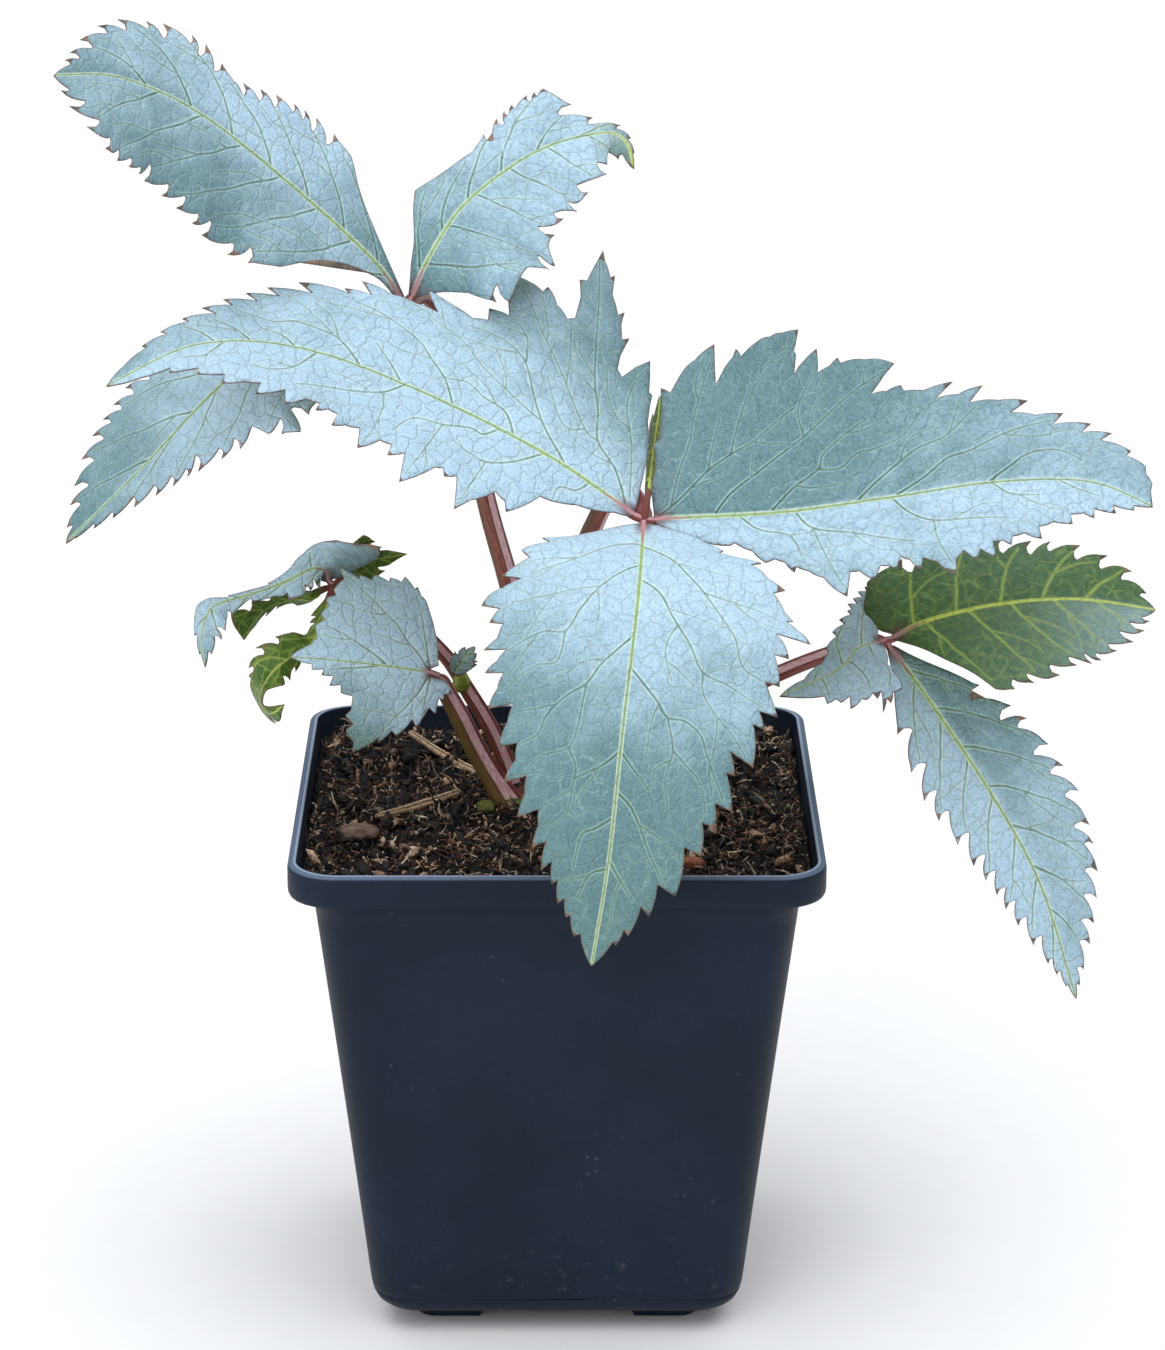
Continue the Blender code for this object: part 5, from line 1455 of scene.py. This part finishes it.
def rounded_square(half, radius, corner_steps=16):
    """One ring's points; every ring has the same number, so that rings can be joined."""
    side = [-FOOT_IN - 1, -FOOT_IN, -12.0, SLIT_FROM, 0.0, SLIT_TO, 12.0, FOOT_IN, FOOT_IN + 1]
    shrink = min(1.0, (half - radius) * 0.9 / (FOOT_IN + 1))
    centre = half - radius
    ring = []
    for turn in range(4):
        a = math.pi / 2 * turn
        c, s = math.cos(a), math.sin(a)
        local = [(half, t * shrink) for t in side]
        for k in range(corner_steps + 1):
            b = math.pi / 2 * k / corner_steps
            local.append((centre + radius * math.cos(b), centre + radius * math.sin(b)))
        ring += [(c * x - s * y, s * x + c * y) for x, y in local]
    return ring


def ring_at(half, radius, z, feet=False, slit=0.0):
    """A ring at a height; feet lifts the edge between the feet, slit cuts in at the front."""
    ring = []
    for x, y in rounded_square(half, radius):
        raised = feet and min(abs(x), abs(y)) < FOOT_IN + 0.5
        in_slit = y < -half + 0.01 and SLIT_FROM - 0.1 < x < SLIT_TO + 0.1
        ring.append((x, y + (slit if in_slit else 0), z + (SKIRT_LIFT if raised else 0)))
    return ring


def stacked(rings):
    """Joins rings into one closed shape."""
    n = len(rings[0])
    verts = [p for ring in rings for p in ring]
    return np.array(verts), wall_between(len(rings), n) + lids(len(rings), n)


print("points in a ring:", len(rounded_square(50, 10)))

# %% [markdown]
# ## The pot's shell
# From the foot up on the outside, over the collar's thin lip with its small bead, and
# down again inside.  The line where the mould parted runs round near the foot, with a
# short slit at the front.

# %% Pot shell
WALL = 1.5                 # thickness
WALL_FOOT = 12.0           # height where the straight wall begins
WALL_FOOT_HALF, WALL_TOP_HALF = 46.8, 59.3
BOW = 0.12                 # how far the wall bows inwards halfway up
SEAM = 9.8                 # height of the parting line


def wall_half(z):
    """Outer half width of the wall at a height."""
    return (WALL_FOOT_HALF
            + (WALL_TOP_HALF - WALL_FOOT_HALF) * (z - WALL_FOOT) / (UNDER_RIM - WALL_FOOT))


def pot_shell():
    foot = [
        ring_at(32.5, 3.0, 3.0),
        ring_at(32.6, 3.1, 0.3, feet=True),
        ring_at(32.9, 3.3, 0, feet=True),
        ring_at(35.2, 4.4, 0, feet=True),
        ring_at(35.5, 4.6, 0.3, feet=True),
        ring_at(36.4, 5.0, 2.6)]
    rounded_edge = [
        ring_at(half, radius, z) for half, radius, z in (
            (39.5, 7.0, 3.9), (41.4, 7.9, 4.5), (42.9, 8.6, 5.2), (43.9, 9.0, 5.8),
            (44.6, 9.2, 6.5), (45.3, 9.4, 7.3), (45.8, 9.6, 8.4))]
    seam = [
        ring_at(46.25, 9.7, SEAM - 0.35),
        ring_at(46.12, 9.65, SEAM - 0.15, slit=0.9),
        ring_at(46.12, 9.65, SEAM + 0.15, slit=0.9),
        ring_at(46.42, 9.75, SEAM + 0.35)]
    wall = [ring_at(wall_half(WALL_FOOT), 9.9, WALL_FOOT)]
    for z in np.linspace(26, UNDER_RIM - 8, 8):
        bowed = BOW * math.sin(math.pi * (z - WALL_FOOT) / (UNDER_RIM - WALL_FOOT))
        wall.append(ring_at(wall_half(z) - bowed, 9.9 + 0.6 * z / UNDER_RIM, z))
    wall.append(ring_at(wall_half(UNDER_RIM), 10.5, UNDER_RIM))
    collar = [                # (in from the rim, corner radius, up from the collar's foot)
        ring_at(RIM_HALF - inward, radius, UNDER_RIM + up) for inward, radius, up in (
            (1.2, 11.0, -0.02), (0.45, 11.6, 0.25), (0.12, 11.9, 0.9), (0, 12.0, 2.0))]
    lip = [                   # (in from the rim, corner radius, down from the top)
        ring_at(RIM_HALF - inward, radius, POT_TOP - down) for inward, radius, down in (
            (0, 12.0, 1.3), (0.12, 11.9, 0.75), (0.35, 11.7, 0.4), (0.8, 11.4, 0.22),
            (1.3, 11.0, 0.14), (1.45, 10.9, 0), (1.95, 10.6, 0), (2.15, 10.4, 0.25),
            (2.3, 10.3, 0.8))]
    inside = [
        ring_at(RIM_HALF - 2.6, 10.1, UNDER_RIM + 1.2),
        ring_at(RIM_HALF - 3.2, 9.8, UNDER_RIM + 0.4),
        ring_at(wall_half(UNDER_RIM) - WALL + 0.5, 9.0, UNDER_RIM - 0.5),
        ring_at(wall_half(80) - WALL, 8.8, 80.0),
        ring_at(wall_half(14) - WALL, 8.6, 14.0),
        ring_at(42.4, 7.2, 7.4),
        ring_at(38.5, 6.0, 4.9)]
    return stacked(foot + rounded_edge + seam + wall + collar + lip + inside)


verts, faces = pot_shell()
print("pot faces:", len(faces))

# %% [markdown]
# ## Moulded plastic
# The plastic is a dark slate blue with a faint grain, a few pale dots and some dust near
# the foot.  The rim's top is painted paler where it faces up, a painted reflection of the
# sky, and a painted highlight lies on the bead.

# %% Pot material
def plastic():
    p = Paint("moulded_plastic")
    where = p.place()
    cloud = p.noise(where, 22, 5, 0.6)
    grain = p.noise(where, 900, 3, 0.6)
    skin = p.mix(p.step(cloud, 0.35, 0.7), rgb(17, 28, 43), rgb(23, 35, 53))
    skin = p.mix(p.step(grain, 0.45, 0.75, 0, 0.35), skin, rgb(12, 18, 29))
    dots = p.add("TexVoronoi", {"Vector": where, "Scale": 330.0, "Randomness": 1.0})
    few = p.step(p.noise(where, 60, 4), 0.60, 0.72)
    dot = p.times(p.step(dots.outputs["Distance"], 0.10, 0.20, 1, 0), few)
    skin = p.mix(p.times(dot, 0.45), skin, rgb(104, 106, 108))
    low_down = p.step(p.height(where), 0.004, 0.040, 1, 0)
    dust = p.times(p.step(p.noise(where, 260, 5, 0.7), 0.58, 0.72), low_down)
    skin = p.mix(p.times(dust, 0.28), skin, rgb(120, 112, 104))
    # Painted reflection of the sky: near the rim's top, faces that look up are painted a paler
    # blue.
    painted_sky_reflection = p.step(p.height(p.add("NewGeometry").outputs["Normal"]), 0.35, 0.95)
    at_rim = p.step(p.height(where), 0.1275, 0.1288)
    skin = p.mix(p.times(painted_sky_reflection, p.times(at_rim, 0.9)), skin, rgb(96, 111, 136))
    # Painted highlight: a thin pale line on the bead at the very top of the rim.
    painted_bead_highlight = p.step(p.height(where), 0.12990, 0.12997)
    skin = p.mix(p.times(painted_bead_highlight, 0.85), skin, rgb(150, 166, 190))
    rough = p.math("ADD", 0.40, p.times(cloud, 0.22))
    height = p.math("ADD", grain, p.times(p.noise(where, 250, 3), 0.8))
    return p.finish(skin, rough, p.bump(height, 0.35, 0.00012), Specular_IOR_Level=0.16)


pot = new_object("pot_shell", verts, faces, [plastic()])
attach(pot, "root")
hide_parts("pot")
print("pot height", round(POT_TOP, 2), "mm, across the rim", round(2 * RIM_HALF, 2), "mm")

# %% [markdown]
# ## The soil's surface
# The soil rises a little round the crown, is uneven and cloddy, and is banked up where it
# meets the pot's walls.  Its height is a formula, since crumbs and fibres must all be laid
# on the same ground.  The packed soil itself only shows between them.

# %% Soil surface
SOIL_TOP = 117.6
SOIL_HALF = 61.9           # half width of the soil at the walls
SOIL_CORNER = 10.0         # its corner radius there
CROWN_CENTRE = (-4.0, 21.0, 117.5)
MOUND, MOUND_WIDE = 1.9, 24
BANK_BACK, BACK_FROM, BACK_WIDE = 5.6, 30, 22
BANK_SIDE, SIDE_FROM, SIDE_WIDE = 6.4, 50.0, 10.5
CLOD_HEIGHT = 0.30
WALL_GAP = 1.8             # from the wall's outside to the packed soil


def soil_height(x, y):
    """Height of the soil's surface."""
    from_crown = np.hypot(x - CROWN_CENTRE[0], y - CROWN_CENTRE[1])
    mound = MOUND * bump_over(from_crown, MOUND_WIDE)
    uneven = 0.5 * np.sin(x / 6.5 + 1.2) * np.cos(y / 7.5) + 0.4 * np.sin((x - y) / 11)
    back = np.clip((y - BACK_FROM) / BACK_WIDE, 0, 1)
    side = np.clip((np.maximum(np.abs(x), -y) - SIDE_FROM) / SIDE_WIDE, 0, 1)
    banked = np.maximum(BANK_BACK * back * back * (3 - 2 * back),
                        BANK_SIDE * side * side * (3 - 2 * side))
    return SOIL_TOP + mound + uneven + banked


def clods(x, y):
    """The clods that make the surface rough, a millimetre or so up and down."""
    rng = np.random.default_rng(11)
    turns = rng.uniform(0, math.pi, 26)
    lengths = rng.uniform(3.2, 11, 26)
    phases = rng.uniform(0, 6.3, 26)
    total = np.zeros_like(x)
    for turn, wave, phase in zip(turns, lengths, phases):
        total += np.sin((x * math.cos(turn) + y * math.sin(turn)) * 2 * math.pi / wave + phase)
    return CLOD_HEIGHT * total


def soil_bed():
    """The packed soil: its sides follow the pot's inside, and its top is cloddy."""
    rings = [
        ring_at(38.0, 5.7, 5.2),
        ring_at(42.0, 6.9, 7.8),
        ring_at(wall_half(14) - WALL_GAP, 8.3, 14.0),
        ring_at(wall_half(116) - WALL_GAP, 8.8, 116.0),
        ring_at(57.2, 8.9, 121.0),
        ring_at(SOIL_HALF, SOIL_CORNER, 122.6)]
    for half in np.linspace(SOIL_HALF, 0.6, 74):
        flat = np.array(rounded_square(half, max(0.3, SOIL_CORNER * half / SOIL_HALF)))
        x, y = flat[:, 0], flat[:, 1]
        from_wall = np.clip((SOIL_HALF - half) / 2.0, 0, 1)
        rings.append(list(zip(x, y, soil_height(x, y) - 0.9 + clods(x, y) * from_wall)))
    return stacked(rings)


across = np.array([-60.0, 0.0, 60.0])
print("soil at the left, in the middle, at the right:", soil_height(across, np.zeros(3)).round(1))

# %% [markdown]
# ## Crumbs
# Potting soil is crumbs of peat and bark.  One crumb is a lumpy twenty-sided stone, so a
# few thousand of them stay cheap.

# %% Crumbs
def scattered(rng, count, reach=61.4, corner=10.5):
    """Random places on the soil, inside the pot's rounded square."""
    xy = rng.uniform(-reach, reach, (int(count * 1.1), 2))
    out = np.maximum(np.abs(xy) - (reach - corner), 0)
    return xy[np.hypot(out[:, 0], out[:, 1]) < corner][:count]


def turned(rng, count):
    """Random rotations."""
    q = unit(rng.normal(size=(count, 4)))
    w, x, y, z = q.T
    return np.stack([1 - 2 * (y * y + z * z), 2 * (x * y - z * w), 2 * (x * z + y * w),
                     2 * (x * y + z * w), 1 - 2 * (x * x + z * z), 2 * (y * z - x * w),
                     2 * (x * z - y * w), 2 * (y * z + x * w), 1 - 2 * (x * x + y * y)],
                    1).reshape(-1, 3, 3)


def twenty_sided():
    body = bmesh.new()
    bmesh.ops.create_icosphere(body, subdivisions=1, radius=1.0)
    verts = np.array([v.co[:] for v in body.verts])
    faces = [tuple(v.index for v in f.verts) for f in body.faces]
    body.free()
    return verts, faces


def repeated(faces, points, count):
    """The same faces for each of a number of shapes with that many points."""
    return [tuple(i + n * points for i in f) for n in range(count) for f in faces]


def crumbs(rng, count, small, large):
    """Lumpy crumbs scattered over the soil, and the tone of each point's crumb."""
    ball, faces = twenty_sided()
    xy = scattered(rng, count, 62.0 - 0.7 * large)
    count = len(xy)
    size = small + (large - small) * rng.random(count) ** 3
    stretch = np.stack([rng.uniform(0.7, 2.2, count), rng.uniform(0.4, 1.1, count),
                        rng.uniform(0.2, 0.6, count)], 1)
    lumpy = ball[None] * rng.uniform(0.55, 1.35, (count, len(ball), 1))
    lumps = lumpy * (stretch * size[:, None])[:, None]
    lumps = np.einsum("nij,nkj->nki", turned(rng, count), lumps)
    x, y = xy[:, 0], xy[:, 1]
    ground = soil_height(x, y) + clods(x, y) * (np.abs(xy).max(1) < 58)
    z = ground + rng.uniform(-0.9, 0.7, count) + 0.25 * size
    lumps = lumps + np.stack([x, y, z], 1)[:, None]
    tone = np.minimum(rng.random(count), np.where(size > 0.8, 0.93, 1.0))
    return lumps.reshape(-1, 3), repeated(faces, len(ball), count), np.repeat(tone, len(ball))


print("points and faces of one crumb:", [len(part) for part in twenty_sided()])

# %% [markdown]
# ## Fibres
# Pale fibres of peat and coir lie on the soil and stick out of it.  Each is a thin
# three-sided tube that bends as it goes, which is enough at this size, and it is held back
# where it would run into the pot's wall.

# %% Fibres
FIBRE_STEPS, FIBRE_SIDES = 5, 3
FIBRE_TAPER = np.array([0.5, 1, 1.1, 1, 0.8, 0.3])[None, :, None, None]
STRAIGHT_HALF = SOIL_HALF - 10.3


def held_inside(line):
    """Moves points that lie outside the soil's rounded square onto its edge."""
    flat = line[..., :2]
    over = np.maximum(np.abs(flat) - STRAIGHT_HALF, 0)
    far = np.hypot(over[..., 0], over[..., 1])[..., None]
    share = np.minimum(1, SOIL_CORNER / np.maximum(far, 1e-9))
    line[..., :2] = np.where(over > 0, np.sign(flat) * (STRAIGHT_HALF + over * share), flat)


def fibres(rng, count, longest, curl):
    """Thin bent fibres, and the tone of each point's fibre."""
    xy = scattered(rng, count)
    count = len(xy)
    length = 1.0 + longest * rng.random(count) ** 2.0
    thick = 0.10 + 0.30 * rng.random(count) ** 1.6
    heading = rng.uniform(0, 2 * math.pi, count)
    lift = rng.normal(0, 0.4, count)
    bend, dip = rng.normal(0, curl, count), rng.normal(0, 0.5 * curl, count)
    x, y = xy[:, 0], xy[:, 1]
    ground = soil_height(x, y) + 0.7 * clods(x, y)
    here = np.stack([x, y, ground + rng.uniform(0.1, 1.5, count)], 1)
    rows = []
    for i in range(FIBRE_STEPS + 1):
        t = i / FIBRE_STEPS
        rows.append(here)
        h, v = heading + bend * t, lift - dip * t
        go = np.stack([np.cos(h) * np.cos(v), np.sin(h) * np.cos(v), np.sin(v)], 1)
        here = here + (length / FIBRE_STEPS)[:, None] * go
    line = np.stack(rows, 1)
    held_inside(line)
    along = unit(np.gradient(line, axis=1) + 1e-9)
    across = unit(np.cross(along, rng.normal(size=(count, 1, 3))))
    other = np.cross(along, across)
    angle = 2 * math.pi * np.arange(FIBRE_SIDES) / FIBRE_SIDES
    ring = (across[:, :, None] * np.cos(angle)[:, None]
            + other[:, :, None] * np.sin(angle)[:, None] * 0.6)
    verts = line[:, :, None] + ring * thick[:, None, None, None] * FIBRE_TAPER
    rings = FIBRE_STEPS + 1
    one = wall_between(rings, FIBRE_SIDES) + lids(rings, FIBRE_SIDES)
    points = rings * FIBRE_SIDES
    return verts.reshape(-1, 3), repeated(one, points, count), np.repeat(rng.random(count), points)


print("points of one fibre:", (FIBRE_STEPS + 1) * FIBRE_SIDES)

# %% [markdown]
# ## Soil colours
# Each crumb or fibre has a tone from 0 to 1, and a colour ramp turns it into a colour.
# Most are nearly black, and a few are as pale as straw.

# %% Soil colours and loose pieces
def crumb_paint(name, steps):
    """Colours picked by each crumb's own tone."""
    p = Paint(name)
    ramp = p.add("ValToRGB", {0: p.value("tone")})
    stops = ramp.color_ramp.elements
    for place, colour in steps[1:-1]:
        stops.new(place).color = colour
    stops[0].color = steps[0][1]
    stops[-1].color = steps[-1][1]
    grain = p.noise(p.place(), 1500, 4, 0.65)
    skin = p.mix(p.step(grain, 0.4, 0.62, 0, 0.65), ramp.outputs[0], rgb(10, 6, 7))
    return p.finish(skin, 0.55, p.bump(grain, 1.0, 0.0005), Specular_IOR_Level=0.5)


def loose(name, shape, skin):
    """A piece of loose soil, with its tones."""
    verts, faces, tone = shape
    obj = new_object(name, verts, faces, [skin])
    put(obj.data, "tone", "FLOAT", tone)
    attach(obj, "root")
    print(name, len(faces))


crumb_skin = crumb_paint("peat", [
    (0, rgb(8, 5, 6)), (0.55, rgb(18, 11, 12)), (0.74, rgb(46, 29, 29)),
    (0.84, rgb(138, 90, 76)), (0.91, rgb(224, 176, 146)), (1, rgb(255, 240, 220))])
fibre_skin = crumb_paint("fibre", [
    (0, rgb(16, 10, 10)), (0.40, rgb(42, 27, 24)), (0.66, rgb(124, 84, 68)),
    (0.84, rgb(236, 192, 156)), (1, rgb(255, 242, 220))])
for name, count, small, large, seed in (("soil_crumbs_fine", 9000, 0.25, 1.0, 1),
                                        ("soil_crumbs_coarse", 2400, 0.6, 2.2, 2)):
    loose(name, crumbs(np.random.default_rng(seed), count, small, large), crumb_skin)
for name, count, longest, curl, seed in (("soil_fibres", 5800, 5.5, 1.7, 3),
                                         ("soil_curls", 4200, 2.6, 3.4, 4)):
    loose(name, fibres(np.random.default_rng(seed), count, longest, curl), fibre_skin)

# %% [markdown]
# ## Packed soil, crown and sheaths
# The crown, where all the stalks begin, and the two sheaths are small lumps with ribs.
# One simple paint with two tones and a speck does for these and for the bark.

# %% Packed soil, crown and sheaths
def lump(centre, radii, rows, sides, seed, rough, ribs=0, rib_depth=0.0):
    """A rounded body with uneven skin and, if asked, ribs from pole to pole."""
    rng = np.random.default_rng(seed)
    waves = rng.normal(size=(10, 3)) * 2.2
    phases = rng.uniform(0, 2 * math.pi, 10)
    lat = math.pi * (np.arange(1, rows) / rows - 0.5)
    lon = 2 * math.pi * np.arange(sides) / sides
    ring = np.stack([np.outer(np.cos(lat), np.cos(lon)), np.outer(np.cos(lat), np.sin(lon)),
                     np.outer(np.sin(lat), np.ones(sides))], -1).reshape(-1, 3)
    points = np.vstack([[(0, 0, -1)], ring, [(0, 0, 1)]])
    around = np.arctan2(points[:, 1], points[:, 0])
    from_axis = np.hypot(points[:, 0], points[:, 1])
    bumps = np.sin(points @ waves.T + phases).mean(1)
    scale = 1 + rough * bumps * 1.8 + rib_depth * np.cos(ribs * around) * from_axis
    faces = [(0, 1 + (k + 1) % sides, 1 + k) for k in range(sides)]
    faces += [tuple(1 + i for i in face) for face in wall_between(rows - 1, sides)]
    last = 1 + (rows - 2) * sides
    faces += [(last + k, last + (k + 1) % sides, len(points) - 1) for k in range(sides)]
    return points * scale[:, None] * np.array(radii) + np.array(centre), faces


def simple_paint(name, dark, light, speck, scale, rough=0.6, stretch=1.0):
    """Two tones in soft patches, with fine specks.  A stretch draws them out along x."""
    p = Paint(name)
    where = p.place()
    if stretch > 1:
        x, y, z = list(p.add("SeparateXYZ", {0: where}).outputs)[:3]
        where = p.add("CombineXYZ", {0: p.math("DIVIDE", x, stretch), 1: y, 2: z}).outputs[0]
    cloud = p.noise(where, scale, 5, 0.6)
    grain = p.noise(where, scale * 7, 4, 0.65)
    skin = p.mix(p.step(cloud, 0.38, 0.64), rgb(*dark), rgb(*light))
    skin = p.mix(p.step(grain, 0.52, 0.75, 0, 0.7), skin, rgb(*speck))
    return p.finish(skin, rough, p.bump(grain, 0.7, 0.0004), Specular_IOR_Level=0.35)


def lie(name, shape, material, node):
    """A piece in the place of one solid."""
    obj = new_object(name, *shape, [material])
    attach(obj, "root")
    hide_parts(node)
    print(name, len(obj.data.polygons))


soil_skin = simple_paint("peat_bed", (8, 5, 5), (20, 13, 12), (56, 36, 30), 260, 0.7)
crown_skin = simple_paint("crown_skin", (70, 44, 32), (120, 78, 54), (150, 110, 80), 160)
young_skin = simple_paint("sheath_skin", (120, 132, 42), (170, 172, 74), (96, 92, 40), 420, 0.5)
old_skin = simple_paint("old_sheath_skin", (86, 94, 38), (132, 130, 66), (84, 60, 38), 380)

crown = lump(CROWN_CENTRE, (15, 11.5, 5.4), rows=22, sides=60, seed=4, rough=0.10,
             ribs=17, rib_depth=0.05)
young = lump((-24.5, 21.7, 150.3), (2.3, 1.9, 2.8), rows=16, sides=30, seed=5, rough=0.08,
             ribs=9, rib_depth=0.05)
old = lump((-18.0, 10.2, 120.8), (2.4, 2.0, 1.7), rows=16, sides=30, seed=6, rough=0.2,
           ribs=7, rib_depth=0.08)
lie("soil_bed", soil_bed(), soil_skin, "soil")
lie("crown_bud", crown, crown_skin, "crown")
lie("young_leaf_sheath_skin", young, young_skin, "young_leaf_sheath")
lie("base_sheath_skin", old, old_skin, "base_sheath")

# %% [markdown]
# ## Scraps of leaf
# Three small torn scraps lie on the soil.  They're loose, like the crumbs, so they stand
# for no solid.

# %% Scraps
SCRAP_SIDES = 40
SCRAP_THICK = 0.3


def scrap(centre, long, wide, turn, lobes, seed):
    """A torn scrap of leaf: a thin, lobed and slightly cupped plate."""
    rng = np.random.default_rng(seed)
    n = SCRAP_SIDES
    angle = 2 * math.pi * np.arange(n) / n
    edge = (1 + 0.30 * np.cos(lobes * angle + rng.uniform(0, 6))
            + 0.12 * np.cos(3 * angle + rng.uniform(0, 6)))
    c, s = math.cos(turn), math.sin(turn)
    points = [(0, 0, 0.25)]
    for share in (0.5, 1.0):
        x, y = share * long * edge * np.cos(angle), share * wide * edge * np.sin(angle)
        z = 0.25 + 0.5 * share ** 2 * np.cos(2 * angle + 0.6)
        points += list(zip(x * c - y * s, x * s + y * c, z))
    top = np.array(points)
    count = len(top)
    faces = []
    for k in range(n):
        m = (k + 1) % n
        faces += [(0, 1 + k, 1 + m), (1 + k, 1 + n + k, 1 + n + m, 1 + m)]
    faces += [tuple(count + i for i in reversed(f)) for f in faces]
    for k in range(n):
        a, b = 1 + n + k, 1 + n + (k + 1) % n
        faces.append((a, count + a, count + b, b))
    return np.vstack([top, top - (0, 0, SCRAP_THICK)]) + np.array(centre), faces


green = simple_paint("green_scrap", (70, 92, 40), (128, 150, 76), (50, 60, 28), 500)
pale = simple_paint("pale_scrap", (150, 156, 104), (206, 208, 160), (120, 120, 80), 500)
for name, where, size, turn, lobes, seed, skin in (
        ("scrap_by_crown", (-9.0, 14.6, 121.0), (3.6, 1.9), 0.5, 5, 21, green),
        ("scrap_on_soil", (-35.0, 40.0, 119.6), (2.5, 1.1), -0.7, 2, 22, green),
        ("scrap_at_wall", (57.0, 4.5, 122.9), (2.0, 1.6), 0.3, 5, 23, pale)):
    obj = new_object(name, *scrap(where, *size, turn, lobes, seed), [skin])
    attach(obj, "root")
    print(name, len(obj.data.polygons))

# %% [markdown]
# ## Dry stalks
# Last year's stalks were cut off short.  They're pale straws with a shallow channel and
# dark streaks along them.

# %% Dry stalks
STRAW_SIDES = 22


def straw_paint():
    p = Paint("dry_straw")
    stretched = {0: p.times(p.value("turn"), 2.5), 1: p.times(p.value("along"), 0.10),
                 2: p.value("seed")}
    where = p.add("CombineXYZ", stretched).outputs[0]
    streak = p.noise(where, 3.0, 5, 0.65)
    skin = p.mix(p.step(streak, 0.36, 0.52), rgb(88, 56, 38), rgb(240, 204, 164))
    skin = p.mix(p.step(p.noise(where, 8.0, 3), 0.50, 0.60, 0, 0.9), skin, rgb(40, 24, 18))
    skin = p.mix(p.step(p.value("around"), 0.06, 0.16, 0.8, 0), skin, rgb(52, 32, 22))
    return p.finish(skin, 0.62, p.bump(streak, 0.8, 0.0003))


def straw(name, path, radii, seed):
    verts, faces, fields = tube(path, radii, (0.2, -0.6, 0.8), 0.5, STRAW_SIDES, 0.22)
    rng = np.random.default_rng(seed)
    wobble = rng.normal(0, 0.05, (len(verts) // STRAW_SIDES, 3))
    heap = Heap()
    heap.add(verts + np.repeat(wobble, STRAW_SIDES, axis=0), faces, seed=seed, **fields)
    obj = heap.build(name + "_straw", straw_skin)
    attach(obj, "root")
    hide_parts(name)
    print(name, len(faces))


straw_skin = straw_paint()
straw("dry_stalk_long", [(-16.5, 32, 120.4), (-28, 42, 122.6), (-39, 51, 127)],
      (0.8, 1.05, 0.75), seed=1)
straw("dry_stalk_short", [(-25.5, 22, 120.4), (-35, 12, 120.6), (-46, 3, 120.8)],
      (0.9, 1.1, 0.6), seed=2)

# %% [markdown]
# ## Bark chips
# Two chips of bark lie on top, a grey one at the left and a red one in front.

# %% Bark chips
GREY_BARK = ((84, 66, 60), (136, 112, 102), (46, 32, 28))
RED_BARK = ((112, 60, 44), (176, 112, 82), (58, 30, 24))

grey = simple_paint("bark_skin", *GREY_BARK, 640, 0.85, stretch=4)
red = simple_paint("red_bark_skin", *RED_BARK, 640, 0.8, stretch=4)
left_chip = lump((-50.0, -8.0, 120.6), (5.8, 3.2, 2.2), rows=24, sides=44, seed=7, rough=0.10)
front_chip = lump((33.0, -27.0, 119.6), (3.6, 2.2, 1.7), rows=20, sides=36, seed=8, rough=0.14)
lie("bark_chip_left_skin", left_chip, grey, "bark_chip_left")
lie("bark_chip_front_skin", front_chip, red, "bark_chip_front")

# %% [markdown]
# ## Last checks
# The box of what shows is kept beside the solids' box, to see that neither grew.

# %% Sizes and finish
seen_box = [list(corner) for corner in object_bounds()]
for axis in range(3):
    solids, seen = [[round(corner[axis] / MM, 1) for corner in box] for box in (cad_box, seen_box)]
    print("xyz"[axis], "solids", solids, "seen", seen)
